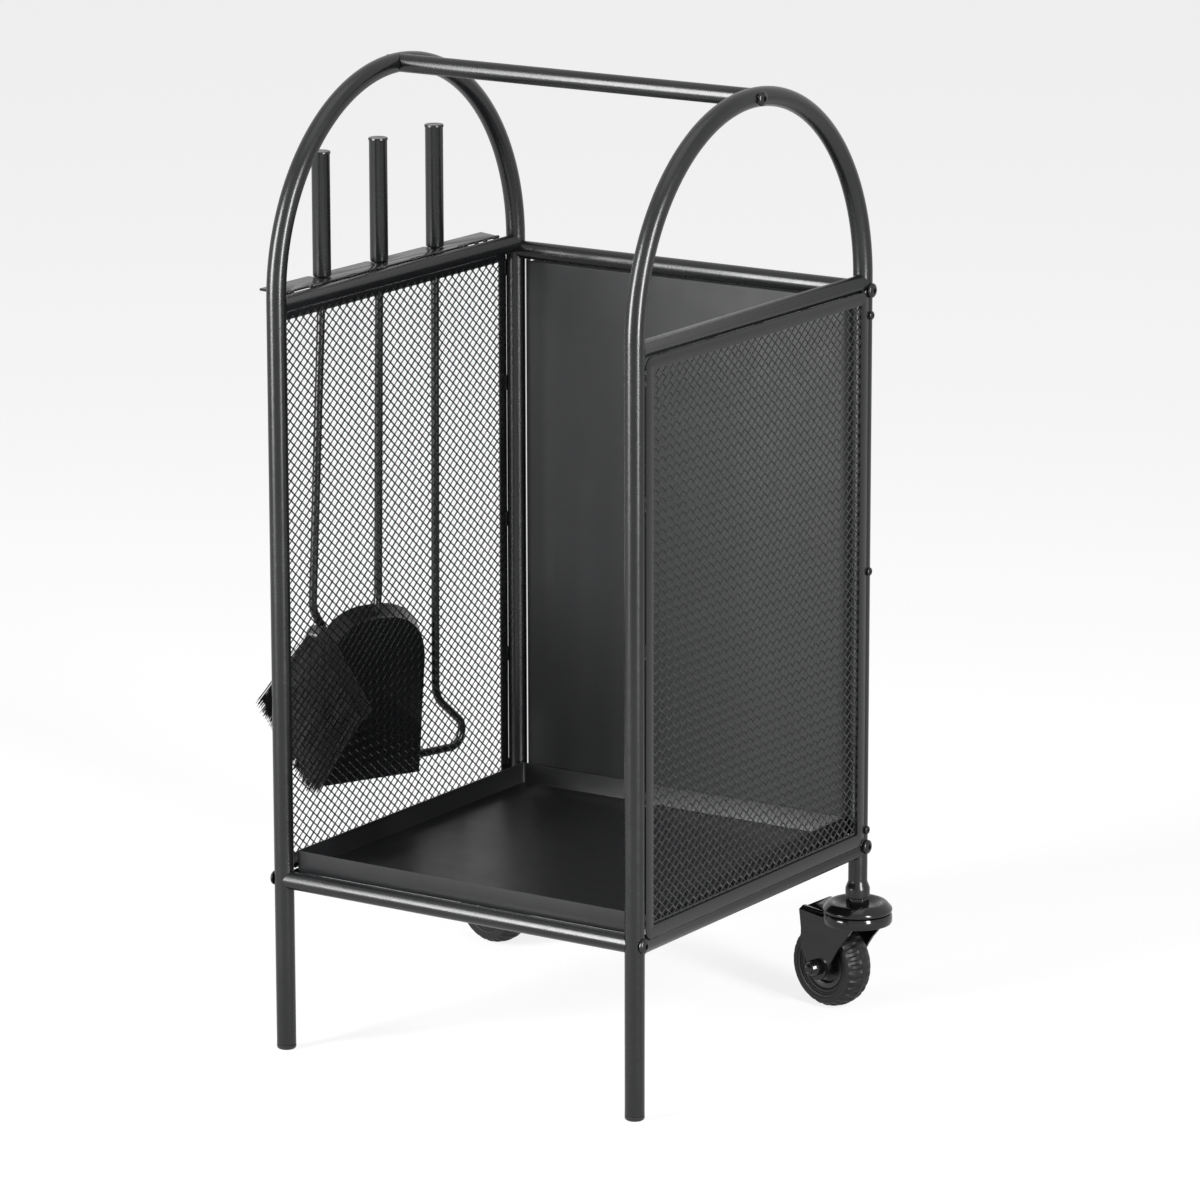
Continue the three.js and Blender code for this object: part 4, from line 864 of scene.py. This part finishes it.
def button_head(name, side, y, z, sizes, node):
    """A domed head on the outside of a leg, with a hexagon sunk in its flat top."""
    radius, height, socket = sizes
    way = SIDES[side]
    dome = []
    for step in range(7):
        angle = step * math.pi / 16
        rise = RIM_HIGH + (1 - RIM_HIGH) * math.sin(angle)
        dome.append((radius * math.cos(angle), height * rise))
    bm = turned([(0, 0), (radius, 0), *dome], (0, 0, 0), "X", 48)
    top = [edge for edge in bm.edges if edge.is_boundary]
    flat = rim_verts(top)
    for vert in flat:
        around = Vector((vert.co.y, vert.co.z)).normalized() * dome[-1][0] * 0.98
        vert.co.y, vert.co.z = around
    turn = math.pi / 3
    rim = push(bm, top, (0, 0, 0), 0.7)
    for vert in rim_verts(rim):
        angle = math.atan2(vert.co.z, vert.co.y)
        wedge = (angle % turn) - turn / 2
        reach = socket / 2 / math.cos(wedge)
        vert.co.y, vert.co.z = reach * math.cos(angle), reach * math.sin(angle)
    rim = push(bm, rim, (-height * 0.55, 0, 0))
    close(bm, rim)
    matrix = Matrix.Translation((way * (LEG + HOOP_TUBE + 0.0002), y, z))
    if way < 0:
        matrix = matrix @ Matrix.Rotation(math.pi, 4, "Z")
    bmesh.ops.transform(bm, matrix=matrix, verts=bm.verts[:])
    piece(name, bm, "cart", [node], bolt_black, 30)


for side in SIDES:
    for bolt, (y, z) in {"handle": (0, HANDLE_Z), **CROSS_RAILS}.items():
        button_head(f"{bolt}_bolt_head_{side}", side, y, z, BOLT, f"{bolt}_bolt_{side}")
    for screw, z in (("low", 0.1584), ("mid", 0.3783), ("high", 0.5919)):
        name, node = f"panel_screw_head_{screw}_{side}", f"panel_screw_{screw}_{side}"
        button_head(name, side, LEG, z, SCREW, node)

# ------------------------------------------------------------------------------ casters
# Glossy black pressed steel: a hexagon nut under the leg, a dished race, the fork with its turned
# down plate and two legs, and a bolt for an axle. The wheel is moulded, with a rubber tyre whose
# tread is cut in blocks.
gloss_black = finish_of(
    "gloss_black", (0.004, 0.004, 0.0045), (0.007, 0.007, 0.0075), (0.10, 0.16), 900, 0.00002
)
tyre_rubber = finish_of(
    "tyre_rubber", (0.006, 0.006, 0.006), (0.010, 0.010, 0.010), (0.42, 0.54), 1100, 0.0001,
    specular=0.3,
)
TRAIL, WHEEL = 0.0285, 0.0365
FORK_GAP, FORK_SHEET = 0.0173, 0.0022
WEB_END, WEB_TOP, BOSS = 0.0463, 0.085, 0.0112
FORK_SWING = math.radians(-12)  # both forks stand a little askew
NUT_LOW, NUT_HIGH, NUT_FLATS = 0.0917, 0.0997, 0.017
TREAD_FROM, TREAD_BLOCKS, GROOVE_DEEP, GROOVE_SHARE = 0.0318, 30, 0.0011, 0.34
CROWN_RIB = 0.0022


def hexagon_nut(x, y, low, high, flat):
    bm = bmesh.new()
    made = bmesh.ops.create_circle(bm, segments=6, radius=flat / math.sqrt(3), cap_ends=True)
    place = Matrix.Translation((x, y, low)) @ Matrix.Rotation(math.radians(57), 4, "Z")
    bmesh.ops.transform(bm, matrix=place, verts=made["verts"])
    grown = bmesh.ops.extrude_face_region(bm, geom=bm.faces[:], use_keep_orig=True)["geom"]
    bmesh.ops.translate(bm, verts=moved_verts(grown), vec=(0, 0, high - low))
    soften(bm, 0.0005)
    return bm


def fork_shell():
    """The web and both legs as one bent sheet: a top that rolls over into the legs on rounded edges."""
    spots = [(-WEB_END, WEB_TOP), (-WEB_END, WHEEL + 0.014), (-TRAIL - BOSS + 0.0002, WHEEL + 0.003)]
    for step in range(21):
        angle = math.pi * (0.96 + (2.12 - 0.96) * step / 20)
        spots.append((-TRAIL + BOSS * math.cos(angle), WHEEL + BOSS * math.sin(angle)))
    spots += [
        (-0.0143, WHEEL + 0.0053), (-0.0118, WHEEL + 0.0075), (-0.0095, WHEEL + 0.0115),
        (-0.0052, WHEEL + 0.0185), (-0.0008, WHEEL + 0.0245), (0.0045, WHEEL + 0.0305),
        (0.011, 0.0761), (0.0125, 0.0800), (0.0125, WEB_TOP),
    ]
    bm = bmesh.new()
    for way in (-1, 1):
        y = way * (FORK_GAP + FORK_SHEET)
        bm.faces.new([bm.verts.new((x, y, z)) for x, z in spots])
    tops = [edge for edge in bm.edges if all(abs(vert.co.z - WEB_TOP) < 1e-5 for vert in edge.verts)]
    bmesh.ops.bridge_loops(bm, edges=tops)
    soften(bm, 0.0045, tops, segments=6)
    bmesh.ops.recalc_face_normals(bm, faces=bm.faces[:])
    top = max(bm.faces, key=lambda face: face.calc_center_median().z)
    if top.normal.z > 0:
        bmesh.ops.reverse_faces(bm, faces=bm.faces[:])
    bmesh.ops.solidify(bm, geom=bm.faces[:], thickness=FORK_SHEET)
    return bm


def swung(bm, x):
    """Turns a caster piece, made round the swivel axis, to where its fork stands under the leg."""
    place = Matrix.Translation((x, LEG, 0)) @ Matrix.Rotation(FORK_SWING, 4, "Z")
    bmesh.ops.transform(bm, matrix=place, verts=bm.verts[:])
    return bm


def tread(bm, axle):
    """Cuts the crown into blocks: grooves across each shoulder, half a block apart on the two sides."""
    for vert in bm.verts:
        off = vert.co - Vector(axle)
        radius = math.hypot(off.x, off.z)
        if radius < TREAD_FROM or abs(off.y) < CROWN_RIB:
            continue
        turn = math.atan2(off.z, off.x) / math.tau * TREAD_BLOCKS + (0.5 if off.y > 0 else 0)
        if turn % 1.0 < GROOVE_SHARE:
            shrink = 1 - GROOVE_DEEP / radius * min((radius - TREAD_FROM) / 0.0016, 1)
            vert.co = Vector(axle) + Vector((off.x * shrink, off.y, off.z * shrink))


for side, way in SIDES.items():
    x = way * LEG
    body, wheel = f"{side}_swivel", f"{side}_wheel"
    nut = hexagon_nut(x, LEG, NUT_LOW, NUT_HIGH, NUT_FLATS)
    stands_for = [f"{side}_caster_stem", f"{side}_leg_insert"]
    piece(f"{side}_stem_nut", nut, "cart", stands_for, gloss_black)
    cup = turned(mm(
        (5.5, 90.2), (12, 90.2), (17.5, 93.2), (21.5, 94.6), (24, 93.6), (27, 88.2), (28.2, 87.9),
        (29, 88.8), (29, 90.2), (28.4, 91.3), (26.8, 93), (24.6, 95.4), (22, 96.4), (19.4, 95.6),
        (15.5, 92.6), (12.8, 91.4), (5.5, 91.4), (5.5, 90.2),
    ), (x, LEG, 0), "Z", 72)
    piece(f"{side}_dished_race", cup, "cart", [f"{side}_caster_cup"], gloss_black, 60)

    fork = turned(mm(
        (5.5, 85), (23.5, 85), (25.6, 84), (26.6, 82), (26.8, 78.6), (27.4, 78.1), (28.3, 78.2),
        (29, 79.4), (29, 84.4), (28.2, 86.6), (26.4, 87.6), (5.5, 87.6), (5.5, 85),
    ), (0, 0, 0), "Z", 72)
    gather(fork, fork_shell())
    node = f"{side}_caster_fork"
    piece(f"{side}_pressed_fork", swung(fork, x), body, [node], gloss_black, 40)

    axle = (-TRAIL, 0, WHEEL)
    bolt = turned(mm(
        (0, -30), (2.6, -29.8), (4, -28.6), (4, 19.8), (6, 19.8), (6, 22), (5.2, 23.4), (3.4, 24.1),
        (0, 24.3),
    ), axle, "Y")
    piece(f"{side}_axle_shank", swung(bolt, x), body, [f"{side}_axle_bolt"], gloss_black)
    nut = turned(mm(
        (4.3, -19.8), (6.8, -19.8), (7, -20.6), (7, -24), (6.2, -25.2), (5.6, -27.4), (5, -28.3),
        (4.3, -28.3), (4.3, -19.8),
    ), axle, "Y")
    piece(f"{side}_lock_nut", swung(nut, x), body, [f"{side}_axle_nut"], gloss_black)
    hub = turned(mm(
        (4.3, -17), (8, -17), (8.4, -6), (9.4, -3.6), (14.6, -5.6), (16, -8.6), (19, -9.5),
        (20, -9.5), (20, 9.5), (19, 9.5), (16, 8.6), (14.6, 5.6), (9.4, 3.6), (8.4, 6), (8, 17),
        (4.3, 17), (4.3, -17),
    ), axle, "Y", 64)
    piece(f"{side}_moulded_hub", swung(hub, x), wheel, [f"{side}_wheel_hub"], black_nylon)
    half = [
        (20.3, 9.3), (21.5, 10.4), (23.2, 10.6), (23.8, 11.3), (24.6, 11.4), (25.2, 12.4), (26, 12.7),
        (27.4, 12.8), (27.8, 13.3), (30.4, 13.4), (31.6, 13.2), (32.4, 12.5), (33.6, 11), (34.8, 9.2),
        (35.5, 7.4), (35.9, 5.6), (36.1, 3), (36.1, 1.2), (36.5, 0.9),
    ]
    tyre = turned(mm(
        *half, (36.5, 0), *[(radius, -height) for radius, height in reversed(half)], (20.3, 9.3)
    ), axle, "Y", 180)
    tread(tyre, axle)
    piece(f"{side}_rubber_tyre", swung(tyre, x), wheel, [f"{side}_tyre"], tyre_rubber, 28)
